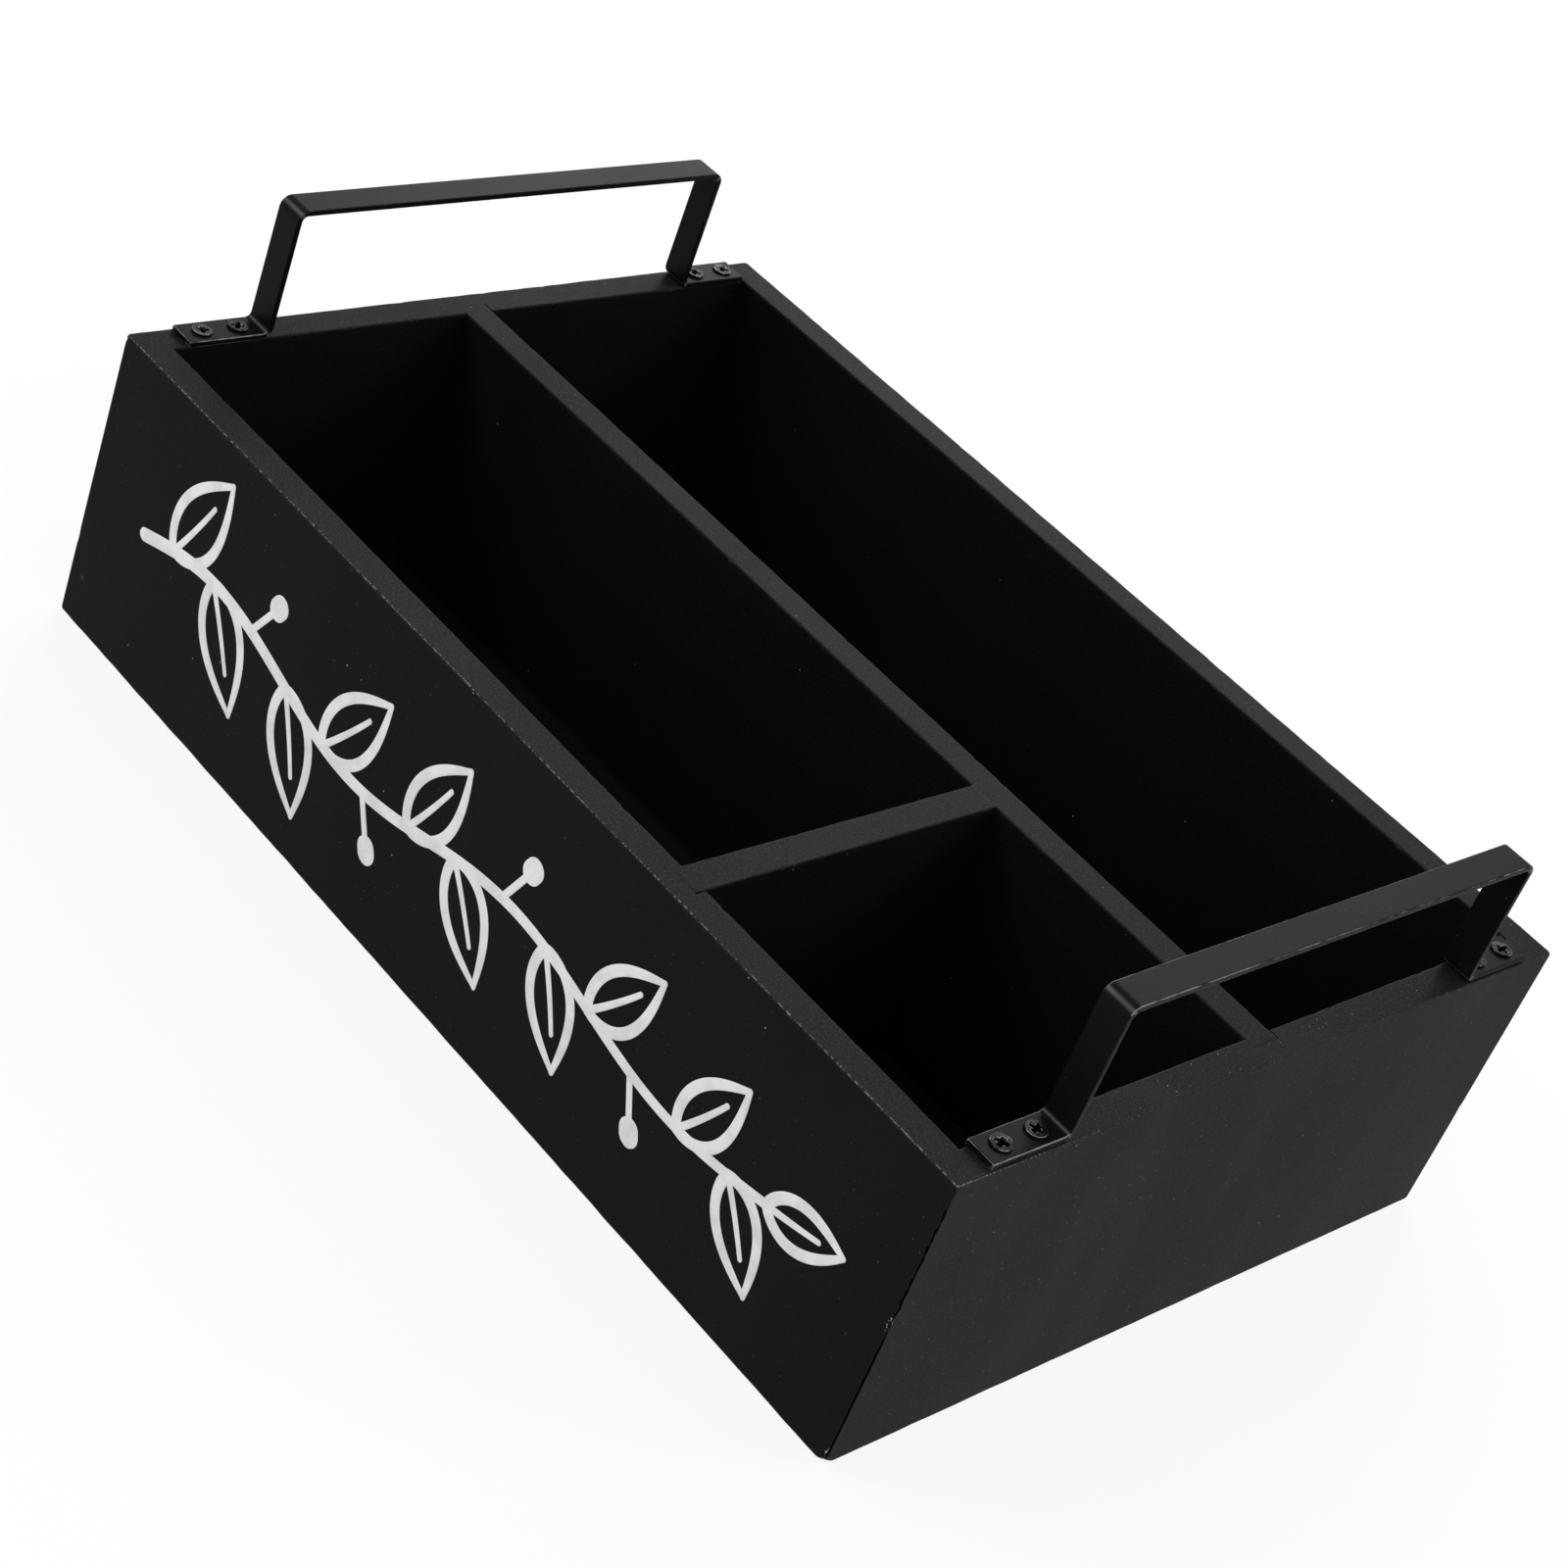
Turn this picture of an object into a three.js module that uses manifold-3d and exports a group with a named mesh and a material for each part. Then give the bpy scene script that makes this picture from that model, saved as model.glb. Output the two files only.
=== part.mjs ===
// Tea bag organizer: an open box of painted boards with three compartments and two strip handles.
// Millimetres, +Z up. The origin is the middle of the base, X runs along the front, +Y to the back.

import * as THREE from "three";
import { mergeVertices } from "three/addons/utils/BufferGeometryUtils.js";
import Module from "manifold-3d";

const wasm = await Module();
wasm.setup();

// Box, outside sizes
const boxLength = 300;
const boxDepth = 200;
const boxHeight = 80;
const board = 8;

// Mitred corners: each board stops this far short, so that a hairline seam runs down the corner
const mitreSeam = 0.1;

// Bottom, let into a rabbet along the inside lower edge of the walls
const bottomThickness = 5;
const rabbetDepth = 4;

// Dividers, housed in grooves
const grooveDepth = 3;
const crossDividerX = 58;

// Clearance round every piece that is let into another
const gap = 0.3;

// Handles, bent from one flat strip
const stripWidth = 8;
const stripThickness = 1.5;
const handleSpan = 136;
const frontFootLength = 22;
const backFootLength = 21;
const handleRise = 35;
const bendInsideRadius = 1.5;
const bendSteps = 6;
const handleInset = 0.6;
const leftHandleShift = 2;

// Countersunk wood screws that hold the feet, heads standing a little proud of the strip
const screwShankRadius = 1.25;
const screwHeadRadius = 2.5;
const screwHeadRim = 0.3;
const screwHeadStand = 0.6;
const screwLength = 16;
const screwPointLength = 3;
const screwOuterY = 84.3;
const screwInnerY = 74.2;
const recessLength = 3.4;
const recessWidth = 0.9;
const recessDepth = 0.9;
const screwSides = 20;
const screwFirstTurn = 65;
const screwTurnStep = 80;

// Brads driven through the front and back panels, across the mitres, into the end panels
const bradRadius = 0.6;
const bradHeadRadius = 0.9;
const bradHeadThickness = 0.6;
const bradLength = 25;
const bradSetBack = 1;
const bradHeights = { low: 13, high: 56 };
const bradSides = 10;

// Places worked out from the sizes above
const halfLength = boxLength / 2;
const halfDepth = boxDepth / 2;
const innerHalfLength = halfLength - board;
const innerHalfDepth = halfDepth - board;
const endPanelX = halfLength - board / 2;
const handleX = endPanelX - handleInset;
const handleTop = boxHeight + handleRise;
const stripTop = boxHeight + stripThickness;
const shankHoleRadius = screwShankRadius + gap;
const screwConeTop = screwHeadStand - screwHeadRim;
const dividerHeight = boxHeight - bottomThickness;
const dividerZ = bottomThickness + dividerHeight / 2;
const overshoot = 1;

// Materials, each call a new one
function finish(color, roughness, metalness) {
  return () => new THREE.MeshStandardMaterial({ color, roughness, metalness });
}
const paintedWood = finish(0x1c1c1d, 0.55, 0);
const coatedSteel = finish(0x202021, 0.42, 0.3);
const blackScrewSteel = finish(0x1a1a1b, 0.3, 0.8);
const bradSteel = finish(0x8d8f92, 0.35, 1);

// Solid of a closed geometry, for cutting.
function solidOf(geometry) {
  const bare = geometry.clone();
  bare.deleteAttribute("normal");
  bare.deleteAttribute("uv");
  const merged = mergeVertices(bare, 1e-4);
  const vertProperties = Float32Array.from(merged.attributes.position.array);
  const triVerts = Uint32Array.from(merged.index.array);
  return new wasm.Manifold(new wasm.Mesh({ numProp: 3, vertProperties, triVerts }));
}

// Geometry of a solid, with flat faces.
function geometryOf(solid) {
  const { vertProperties, triVerts } = solid.getMesh();
  const geometry = new THREE.BufferGeometry();
  geometry.setAttribute("position", new THREE.BufferAttribute(Float32Array.from(vertProperties), 3));
  geometry.setIndex(new THREE.BufferAttribute(Uint32Array.from(triVerts), 1));
  geometry.computeVertexNormals();
  return geometry;
}

// A body with every cutter taken out of it.
function cut(body, cutters) {
  return geometryOf(cutters.reduce((rest, cutter) => rest.subtract(solidOf(cutter)), solidOf(body)));
}

// Box between two corners.
function boxBetween(low, high) {
  const size = new THREE.Vector3().subVectors(high, low);
  const centre = new THREE.Vector3().addVectors(low, high).multiplyScalar(0.5);
  return new THREE.BoxGeometry(size.x, size.y, size.z).translate(centre.x, centre.y, centre.z);
}

// Rod along +Z or +Y from a start point.
function rod(start, radius, length, sides, along = "z") {
  const geometry = new THREE.CylinderGeometry(radius, radius, length, sides);
  geometry.translate(0, length / 2, 0);
  if (along === "z") {
    geometry.rotateX(Math.PI / 2);
  }
  return geometry.translate(start.x, start.y, start.z);
}

// Wall board with mitred ends, outer face a distance in front of the origin, then turned about Z.
function wallBoard(length, distance, turn) {
  const outer = length / 2 - mitreSeam;
  const inner = outer - board;
  const plan = new THREE.Shape([
    new THREE.Vector2(-outer, -distance),
    new THREE.Vector2(outer, -distance),
    new THREE.Vector2(inner, board - distance),
    new THREE.Vector2(-inner, board - distance),
  ]);
  return new THREE.ExtrudeGeometry(plan, { depth: boxHeight, bevelEnabled: false }).rotateZ(turn);
}

// The rabbet of all four walls as one cutter: open below, its shoulder a gap above the bottom panel.
function rabbetCutter() {
  const low = new THREE.Vector3(-innerHalfLength - rabbetDepth, -innerHalfDepth - rabbetDepth, -overshoot);
  const high = new THREE.Vector3(-low.x, -low.y, bottomThickness + gap);
  return boxBetween(low, high);
}

// Corner brads: one low and one high at each corner, pointing into the end panels.
const brads = [];
for (const [depthName, ySide] of [["front", -1], ["back", 1]]) {
  for (const [endName, xSide] of [["left", -1], ["right", 1]]) {
    for (const [levelName, z] of Object.entries(bradHeights)) {
      const head = new THREE.Vector3(xSide * endPanelX, ySide * (halfDepth - bradSetBack - gap), z);
      brads.push({ name: `brad_${depthName}_${endName}_${levelName}`, head, xSide, ySide });
    }
  }
}

// Hole for one brad, a gap wider than the brad, ending short of the outer face under the filler.
function bradHole({ head, ySide }) {
  const length = bradLength + 2 * gap;
  const start = head.clone();
  start.y += ySide * gap;
  if (ySide > 0) {
    start.y -= length;
  }
  return rod(start, bradHeadRadius + gap, length, bradSides, "y");
}

// Handle screws: an outer and an inner one in each foot.
const screws = [];
for (const [endName, xSide, shift] of [["left", -1, leftHandleShift], ["right", 1, 0]]) {
  for (const [depthName, ySide] of [["front", -1], ["back", 1]]) {
    for (const [rowName, y] of [["outer", screwOuterY], ["inner", screwInnerY]]) {
      const foot = new THREE.Vector3(xSide * handleX, ySide * y + shift, stripTop);
      screws.push({ name: `screw_${endName}_${depthName}_${rowName}`, foot, xSide });
    }
  }
}

// Pilot hole for one screw, in the top edge of an end panel.
function pilotHole({ foot }) {
  const start = foot.clone();
  start.z = boxHeight - screwLength;
  return rod(start, shankHoleRadius, screwLength + overshoot, screwSides);
}

// Front or back panel, with the rabbet, the brad holes and, in front, a divider groove.
function sidePanel(ySide, grooves) {
  const body = wallBoard(boxLength, halfDepth, ySide < 0 ? 0 : Math.PI);
  const holes = brads.filter((brad) => brad.ySide === ySide).map(bradHole);
  return cut(body, [rabbetCutter(), ...holes, ...grooves]);
}

// End panel, with the rabbet, a groove for the long divider, brad holes and screw pilot holes.
function endPanel(xSide) {
  const body = wallBoard(boxDepth, halfLength, (xSide * Math.PI) / 2);
  const holes = brads.filter((brad) => brad.xSide === xSide).map(bradHole);
  const pilots = screws.filter((screw) => screw.xSide === xSide).map(pilotHole);
  const groove = new THREE.BoxGeometry(2 * grooveDepth, board + 2 * gap, boxHeight + 2 * overshoot);
  groove.translate(xSide * innerHalfLength, 0, boxHeight / 2);
  return cut(body, [rabbetCutter(), groove, ...holes, ...pilots]);
}

// Groove in the front panel for the cross divider.
function crossGroove() {
  const groove = new THREE.BoxGeometry(board + 2 * gap, 2 * grooveDepth, boxHeight + 2 * overshoot);
  return groove.translate(crossDividerX, -innerHalfDepth, boxHeight / 2);
}

// Bottom panel, a gap smaller than its rabbet all round.
function bottomPanel() {
  const length = 2 * (innerHalfLength + rabbetDepth - gap);
  const width = 2 * (innerHalfDepth + rabbetDepth - gap);
  return new THREE.BoxGeometry(length, width, bottomThickness).translate(0, 0, bottomThickness / 2);
}

// Long divider, housed in both end panels.
function longDivider() {
  const length = 2 * (innerHalfLength + grooveDepth - gap);
  return new THREE.BoxGeometry(length, board, dividerHeight).translate(0, 0, dividerZ);
}

// Cross divider, from its groove in the front panel to the face of the long divider.
function crossDivider() {
  const front = -(innerHalfDepth + grooveDepth - gap);
  const back = -board / 2;
  const width = back - front;
  const divider = new THREE.BoxGeometry(board, width, dividerHeight);
  return divider.translate(crossDividerX, front + width / 2, dividerZ);
}

// One side of a bent strip: the centre line's corners become round bends, set off to the left by offset.
function stripSide(corners, offset) {
  const bendRadius = bendInsideRadius + stripThickness / 2;
  const points = [];
  corners.forEach((corner, i) => {
    const before = corners[Math.max(i, 1) - 1];
    const into = new THREE.Vector2().subVectors(corners[Math.max(i, 1)], before).normalize();
    const left = new THREE.Vector2(-into.y, into.x);
    if (i === 0 || i === corners.length - 1) {
      points.push(corner.clone().addScaledVector(left, offset));
      return;
    }
    const out = new THREE.Vector2().subVectors(corners[i + 1], corner).normalize();
    const turn = Math.sign(into.cross(out));
    const centre = corner.clone().addScaledVector(into, -bendRadius).addScaledVector(left, turn * bendRadius);
    for (let step = 0; step <= bendSteps; step += 1) {
      const angle = (turn * step * Math.PI) / 2 / bendSteps;
      const spoke = left.clone().multiplyScalar(-turn * (bendRadius - turn * offset));
      points.push(spoke.rotateAround(new THREE.Vector2(), angle).add(centre));
    }
  });
  return points;
}

// Hole through a foot for one screw.
function footHole({ foot }) {
  const start = new THREE.Vector3(foot.x, foot.y, boxHeight - overshoot);
  return rod(start, shankHoleRadius, stripThickness + 2 * overshoot, screwSides);
}

// Countersunk mouth of that hole: a cone at half a right angle, a gap wider than the cone of the head.
function footMouth({ foot }) {
  const wide = screwHeadRadius - screwConeTop + gap + overshoot;
  const height = wide - screwShankRadius;
  const cone = new THREE.CylinderGeometry(wide, screwShankRadius, height, screwSides);
  cone.rotateX(Math.PI / 2);
  return cone.translate(foot.x, foot.y, stripTop + overshoot - height / 2);
}

// Handle: a flat strip bent up from its feet and across, with a countersunk hole for each screw.
function handle(xSide, shift) {
  const footZ = boxHeight + stripThickness / 2;
  const barZ = handleTop - stripThickness / 2;
  const uprightY = handleSpan / 2 - stripThickness / 2;
  const corners = [
    new THREE.Vector2(-handleSpan / 2 - frontFootLength, footZ),
    new THREE.Vector2(-uprightY, footZ),
    new THREE.Vector2(-uprightY, barZ),
    new THREE.Vector2(uprightY, barZ),
    new THREE.Vector2(uprightY, footZ),
    new THREE.Vector2(handleSpan / 2 + backFootLength, footZ),
  ];
  const half = stripThickness / 2;
  const outline = new THREE.Shape([...stripSide(corners, -half), ...stripSide(corners, half).reverse()]);
  const strip = new THREE.ExtrudeGeometry(outline, { depth: stripWidth, bevelEnabled: false });
  const axes = [new THREE.Vector3(0, 1, 0), new THREE.Vector3(0, 0, 1), new THREE.Vector3(1, 0, 0)];
  strip.applyMatrix4(new THREE.Matrix4().makeBasis(...axes));
  strip.translate(xSide * handleX - stripWidth / 2, shift, 0);
  const own = screws.filter((screw) => screw.xSide === xSide);
  return cut(strip, [...own.map(footHole), ...own.map(footMouth)]);
}

// Screw about its own axis: z = 0 is the strip's top, and most of the cone of the head lies below it.
function screwGeometry() {
  const tip = screwHeadStand - screwLength;
  const coneFoot = screwConeTop - (screwHeadRadius - screwShankRadius);
  const profile = [
    new THREE.Vector2(0, tip),
    new THREE.Vector2(screwShankRadius, tip + screwPointLength),
    new THREE.Vector2(screwShankRadius, coneFoot),
    new THREE.Vector2(screwHeadRadius, screwConeTop),
    new THREE.Vector2(screwHeadRadius, screwHeadStand),
    new THREE.Vector2(0, screwHeadStand),
  ];
  const body = new THREE.LatheGeometry(profile, screwSides).rotateX(Math.PI / 2);
  const bars = [
    new THREE.BoxGeometry(recessLength, recessWidth, 2 * recessDepth),
    new THREE.BoxGeometry(recessWidth, recessLength, 2 * recessDepth),
  ];
  return cut(body, bars.map((bar) => bar.translate(0, 0, screwHeadStand)));
}

// Brad about its own axis: the head's face at y = 0, the shank along +Y.
function bradGeometry() {
  const profile = [
    new THREE.Vector2(0, 0),
    new THREE.Vector2(bradHeadRadius, 0),
    new THREE.Vector2(bradHeadRadius, bradHeadThickness),
    new THREE.Vector2(bradRadius, bradHeadThickness),
    new THREE.Vector2(bradRadius, bradLength - 2 * bradRadius),
    new THREE.Vector2(0, bradLength),
  ];
  return new THREE.LatheGeometry(profile, bradSides);
}

const organizer = new THREE.Group();

function place(name, geometry, material, position = new THREE.Vector3(), rotation = new THREE.Euler()) {
  const mesh = new THREE.Mesh(geometry, material);
  mesh.name = name;
  mesh.position.copy(position);
  mesh.rotation.copy(rotation);
  organizer.add(mesh);
}

place("front_panel", sidePanel(-1, [crossGroove()]), paintedWood());
place("back_panel", sidePanel(1, []), paintedWood());
place("left_end_panel", endPanel(-1), paintedWood());
place("right_end_panel", endPanel(1), paintedWood());
place("bottom_panel", bottomPanel(), paintedWood());
place("long_divider", longDivider(), paintedWood());
place("cross_divider", crossDivider(), paintedWood());
place("left_handle", handle(-1, leftHandleShift), coatedSteel());
place("right_handle", handle(1, 0), coatedSteel());

// Each screw stops at its own angle in degrees, as driven screws do.
screws.forEach(({ name, foot }, i) => {
  const turned = new THREE.Euler(0, 0, THREE.MathUtils.degToRad(screwFirstTurn + i * screwTurnStep));
  place(name, screwGeometry(), blackScrewSteel(), foot, turned);
});

brads.forEach(({ name, head, ySide }) => {
  const turned = new THREE.Euler(0, 0, ySide > 0 ? Math.PI : 0);
  place(name, bradGeometry(), bradSteel(), head, turned);
});

export default organizer;
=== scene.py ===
"""Looks of a tea bag organizer: black painted boards, dividers, strip handles and a white leaf print.

Lengths are millimetres until a mesh is made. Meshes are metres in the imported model's own frame: x runs
along the front, y from front to back and z up from the base.
"""

from __future__ import annotations

import itertools
import logging
import math
from dataclasses import dataclass, field
from enum import Enum
from typing import Any, Mapping, Sequence

import bpy
import numpy as np
from mathutils import Matrix, Vector


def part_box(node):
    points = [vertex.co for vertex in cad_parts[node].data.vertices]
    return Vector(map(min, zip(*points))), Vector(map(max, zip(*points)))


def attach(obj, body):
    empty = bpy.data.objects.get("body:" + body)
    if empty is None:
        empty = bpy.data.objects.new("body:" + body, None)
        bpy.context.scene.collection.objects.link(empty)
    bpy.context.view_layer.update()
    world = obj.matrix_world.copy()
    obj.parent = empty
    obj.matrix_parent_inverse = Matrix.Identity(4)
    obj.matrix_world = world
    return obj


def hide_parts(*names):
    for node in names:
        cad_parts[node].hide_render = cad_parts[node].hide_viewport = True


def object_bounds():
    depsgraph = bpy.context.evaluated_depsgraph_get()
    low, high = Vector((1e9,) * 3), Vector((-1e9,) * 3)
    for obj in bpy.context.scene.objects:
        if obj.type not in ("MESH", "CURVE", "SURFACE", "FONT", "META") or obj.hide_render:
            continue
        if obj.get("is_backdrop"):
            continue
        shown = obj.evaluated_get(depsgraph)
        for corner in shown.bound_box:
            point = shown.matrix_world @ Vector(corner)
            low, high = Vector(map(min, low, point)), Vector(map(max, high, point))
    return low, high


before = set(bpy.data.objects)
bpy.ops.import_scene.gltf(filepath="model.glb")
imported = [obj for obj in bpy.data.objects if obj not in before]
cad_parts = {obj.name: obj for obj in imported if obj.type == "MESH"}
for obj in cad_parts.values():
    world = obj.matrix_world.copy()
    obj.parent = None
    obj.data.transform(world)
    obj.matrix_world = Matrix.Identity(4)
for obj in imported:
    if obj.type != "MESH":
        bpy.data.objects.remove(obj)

MM = 0.001
ROOT = "root"
QUARTER_TURN = math.pi / 2
# Radius of an edge that is left sharp: not zero, so that the points of its arc stay apart.
SQUARE = 0.02
# Distance over which an edge's lighter tone, worn paint and a painted highlight, fades, and how far below
# its top a board counts as rim.
EDGE_FADE = 0.2
RIM_BAND = 0.5
# Hand-eased edges: swing of their radius, and the wavelengths of the swings and of small breaks.
EDGE_SWING = 0.22
EDGE_WAVE = 9
BREAK_WAVE = 4
# Edge wear and painted edge highlight of each handle's bar: all along it, and more of it at its front end.
HANDLE_EDGE_WEAR_AND_HIGHLIGHT = {"left": (0.70, 0.10), "right": (0.84, 0.26)}
log = logging.getLogger("organizer")


class Slot(Enum):
    """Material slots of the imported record."""

    PAINT = "painted_wood"
    STRIP = "coated_steel"
    SCREW = "screw_steel"
    BRAD = "brad_steel"
    PRINT = "white_print"


class Side(Enum):
    """Walls of the box, each with the quarter turns that take the front to it."""

    FRONT = 0
    RIGHT = 1
    BACK = 2
    LEFT = 3


class Shade:
    """A socket of a node tree that adds Math nodes when it is used in an expression."""

    def __init__(self, recipe: Recipe, socket: bpy.types.NodeSocket) -> None:
        """Keep the socket and the recipe that it belongs to."""
        self.recipe = recipe
        self.socket = socket

    def _math(self, operation: str, first: Value, second: Value) -> Shade:
        """Add one Math node and return its result."""
        return self.recipe.node("ShaderNodeMath", {"operation": operation}, {0: first, 1: second})

    def __add__(self, other: Value) -> Shade:
        """Sum."""
        return self._math("ADD", self, other)

    def __radd__(self, other: Value) -> Shade:
        """Sum with a number on the left."""
        return self._math("ADD", other, self)

    def __sub__(self, other: Value) -> Shade:
        """Difference."""
        return self._math("SUBTRACT", self, other)

    def __rsub__(self, other: Value) -> Shade:
        """Difference with a number on the left."""
        return self._math("SUBTRACT", other, self)

    def __mul__(self, other: Value) -> Shade:
        """Product."""
        return self._math("MULTIPLY", self, other)

    def __rmul__(self, other: Value) -> Shade:
        """Product with a number on the left."""
        return self._math("MULTIPLY", other, self)

    def at_most(self, other: Value) -> Shade:
        """The smaller of two values."""
        return self._math("MINIMUM", self, other)

    def swing(self, amount: float) -> Shade:
        """A value from 0 to 1 as a swing about zero, amount in all."""
        return amount * (self - 0.5)

    def rise(self, start: float, stop: float) -> Shade:
        """Smooth step between two values, a falling one where start is above stop.

        Args:
            start: Value that gives 0.
            stop: Value that gives 1.

        Returns:
            The step.
        """
        sockets = {"Value": self, "From Min": start, "From Max": stop}
        return self.recipe.node("ShaderNodeMapRange", {"interpolation_type": "SMOOTHSTEP"}, sockets)


Value = Shade | float


def grey(value: float) -> tuple[float, float, float, float]:
    """Opaque neutral colour of a linear value."""
    return (value, value, value, 1.0)


class Recipe:
    """Node tree of one finish."""

    # A Mix node's sockets for colours go by number, because its other kinds share their names.
    MIX_INPUTS = (0, 6, 7)
    MIX_RESULT = 2

    def __init__(self, owner: bpy.types.Material | bpy.types.World) -> None:
        """Empty the node tree of a material or a world.

        Args:
            owner: The material or world.
        """
        owner.use_nodes = True
        self.owner = owner
        self.tree = owner.node_tree
        self.tree.nodes.clear()

    def node(
        self,
        kind: str,
        settings: Mapping[str, Any] | None = None,
        sockets: Mapping[str | int, Any] | None = None,
        out: str | int = 0,
    ) -> Shade:
        """Add a node of any kind.

        Args:
            kind: Name of the type of node.
            settings: Properties that are set first.
            sockets: Numbers, colours or other shades for its inputs, by name or index.
            out: Name or index of the output that is returned.

        Returns:
            The chosen output.
        """
        made = self.tree.nodes.new(kind)
        for key, value in (settings or {}).items():
            setattr(made, key, value)
        for key, value in (sockets or {}).items():
            if isinstance(value, Shade):
                self.tree.links.new(value.socket, made.inputs[key])
            else:
                made.inputs[key].default_value = value
        return Shade(self, made.outputs[out])

    def place(self) -> Shade:
        """Object coordinates, in metres."""
        return self.node("ShaderNodeTexCoord", out="Object")

    def noise(self, size: float, detail: float = 2.0, stretch: Sequence[float] = (1, 1, 1)) -> Shade:
        """Cloudy noise from 0 to 1.

        Args:
            size: Size of its largest blotches in millimetres.
            detail: Number of finer layers.
            stretch: Factors on x, y and z of the coordinates; below 1 draws the blotches out.

        Returns:
            The noise value.
        """
        spot = self.node("ShaderNodeMapping", sockets={"Vector": self.place(), "Scale": stretch})
        sockets = {"Vector": spot, "Scale": 1 / (size * MM), "Detail": detail}
        return self.node("ShaderNodeTexNoise", sockets=sockets)

    def specks(self, spacing: float, radius: float, core: float = 0.4) -> Shade:
        """Scattered round specks, 1 in their middle and 0 between them.

        Args:
            spacing: Size in millimetres of the cells that hold one speck each.
            radius: Largest radius of a speck in millimetres; most are cut smaller by the surface.
            core: Share of the radius inside which a speck doesn't fade.

        Returns:
            The mask, with each speck at its own strength.
        """
        sockets = {"Vector": self.place(), "Scale": 1 / (spacing * MM)}
        distance = self.node("ShaderNodeTexVoronoi", sockets=sockets, out="Distance")
        colour = self.node("ShaderNodeTexVoronoi", sockets=sockets, out="Color")
        strength = self.node("ShaderNodeSeparateColor", sockets={0: colour})
        return distance.rise(radius / spacing, core * radius / spacing) * (strength * strength)

    def mark(self, name: str) -> Shade:
        """A value that the mesh carries at its points."""
        return self.node("ShaderNodeAttribute", {"attribute_name": name}, out="Fac")

    def mix(self, share: Value, first: Sequence[float] | Shade, second: Sequence[float] | Shade) -> Shade:
        """Colour that goes from first to second as share goes from 0 to 1."""
        sockets = dict(zip(self.MIX_INPUTS, (share, first, second)))
        return self.node("ShaderNodeMix", {"data_type": "RGBA"}, sockets, self.MIX_RESULT)

    def coats(self, tone: float, *layers: tuple[Shade, float]) -> Shade:
        """Grey colour built up in layers.

        Args:
            tone: Linear tone of the ground.
            layers: A mask and the tone that it brings for each layer, from the ground up.

        Returns:
            The colour.
        """
        colour = grey(tone)
        for mask, layer_tone in layers:
            colour = self.mix(mask, colour, grey(layer_tone))
        return colour

    def bump(self, height: Shade, depth: float) -> Shade:
        """Normal of a surface raised by height.

        Args:
            height: Values from 0 to 1.
            depth: Height in millimetres where the value is 1.

        Returns:
            The normal.
        """
        sockets = {"Height": height, "Distance": depth * MM, "Strength": 1}
        return self.node("ShaderNodeBump", sockets=sockets)

    def surface(self, **sockets: Any) -> bpy.types.Material:
        """Finish with a Principled surface.

        Args:
            sockets: Its inputs, with underscores for the spaces in their names.

        Returns:
            The finished material.
        """
        named = {key.replace("_", " "): value for key, value in sockets.items()}
        return self.close(self.node("ShaderNodeBsdfPrincipled", sockets=named))

    def close(self, shader: Shade, kind: str = "ShaderNodeOutputMaterial") -> bpy.types.ID:
        """Lead a shader to the tree's output.

        Args:
            shader: What the surface or the surround shows.
            kind: Name of the type of output.

        Returns:
            The material or world that owns the tree.
        """
        output = self.tree.nodes.new(kind)
        self.tree.links.new(shader.socket, output.inputs["Surface"])
        return self.owner


@dataclass(frozen=True)
class Patches:
    """Soft-edged patches: cloudy noise that rises from 0 at start to 1 at stop."""

    size: float
    detail: float
    start: float
    stop: float
    stretch: tuple[float, float, float] = (1, 1, 1)

    def over(self, recipe: Recipe) -> Shade:
        """Mask of the patches."""
        return recipe.noise(self.size, self.detail, self.stretch).rise(self.start, self.stop)


@dataclass(frozen=True)
class Wear:
    """Patchy wear: a mark times floor + gain * noise, with a smooth step from start to stop."""

    size: float
    detail: float
    floor: float
    gain: float
    start: float
    stop: float

    def over(self, recipe: Recipe, mark: Shade) -> Shade:
        """Mask of the worn places among those that are marked."""
        noise = recipe.noise(self.size, self.detail)
        return (mark * (self.floor + self.gain * noise)).rise(self.start, self.stop)


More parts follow.
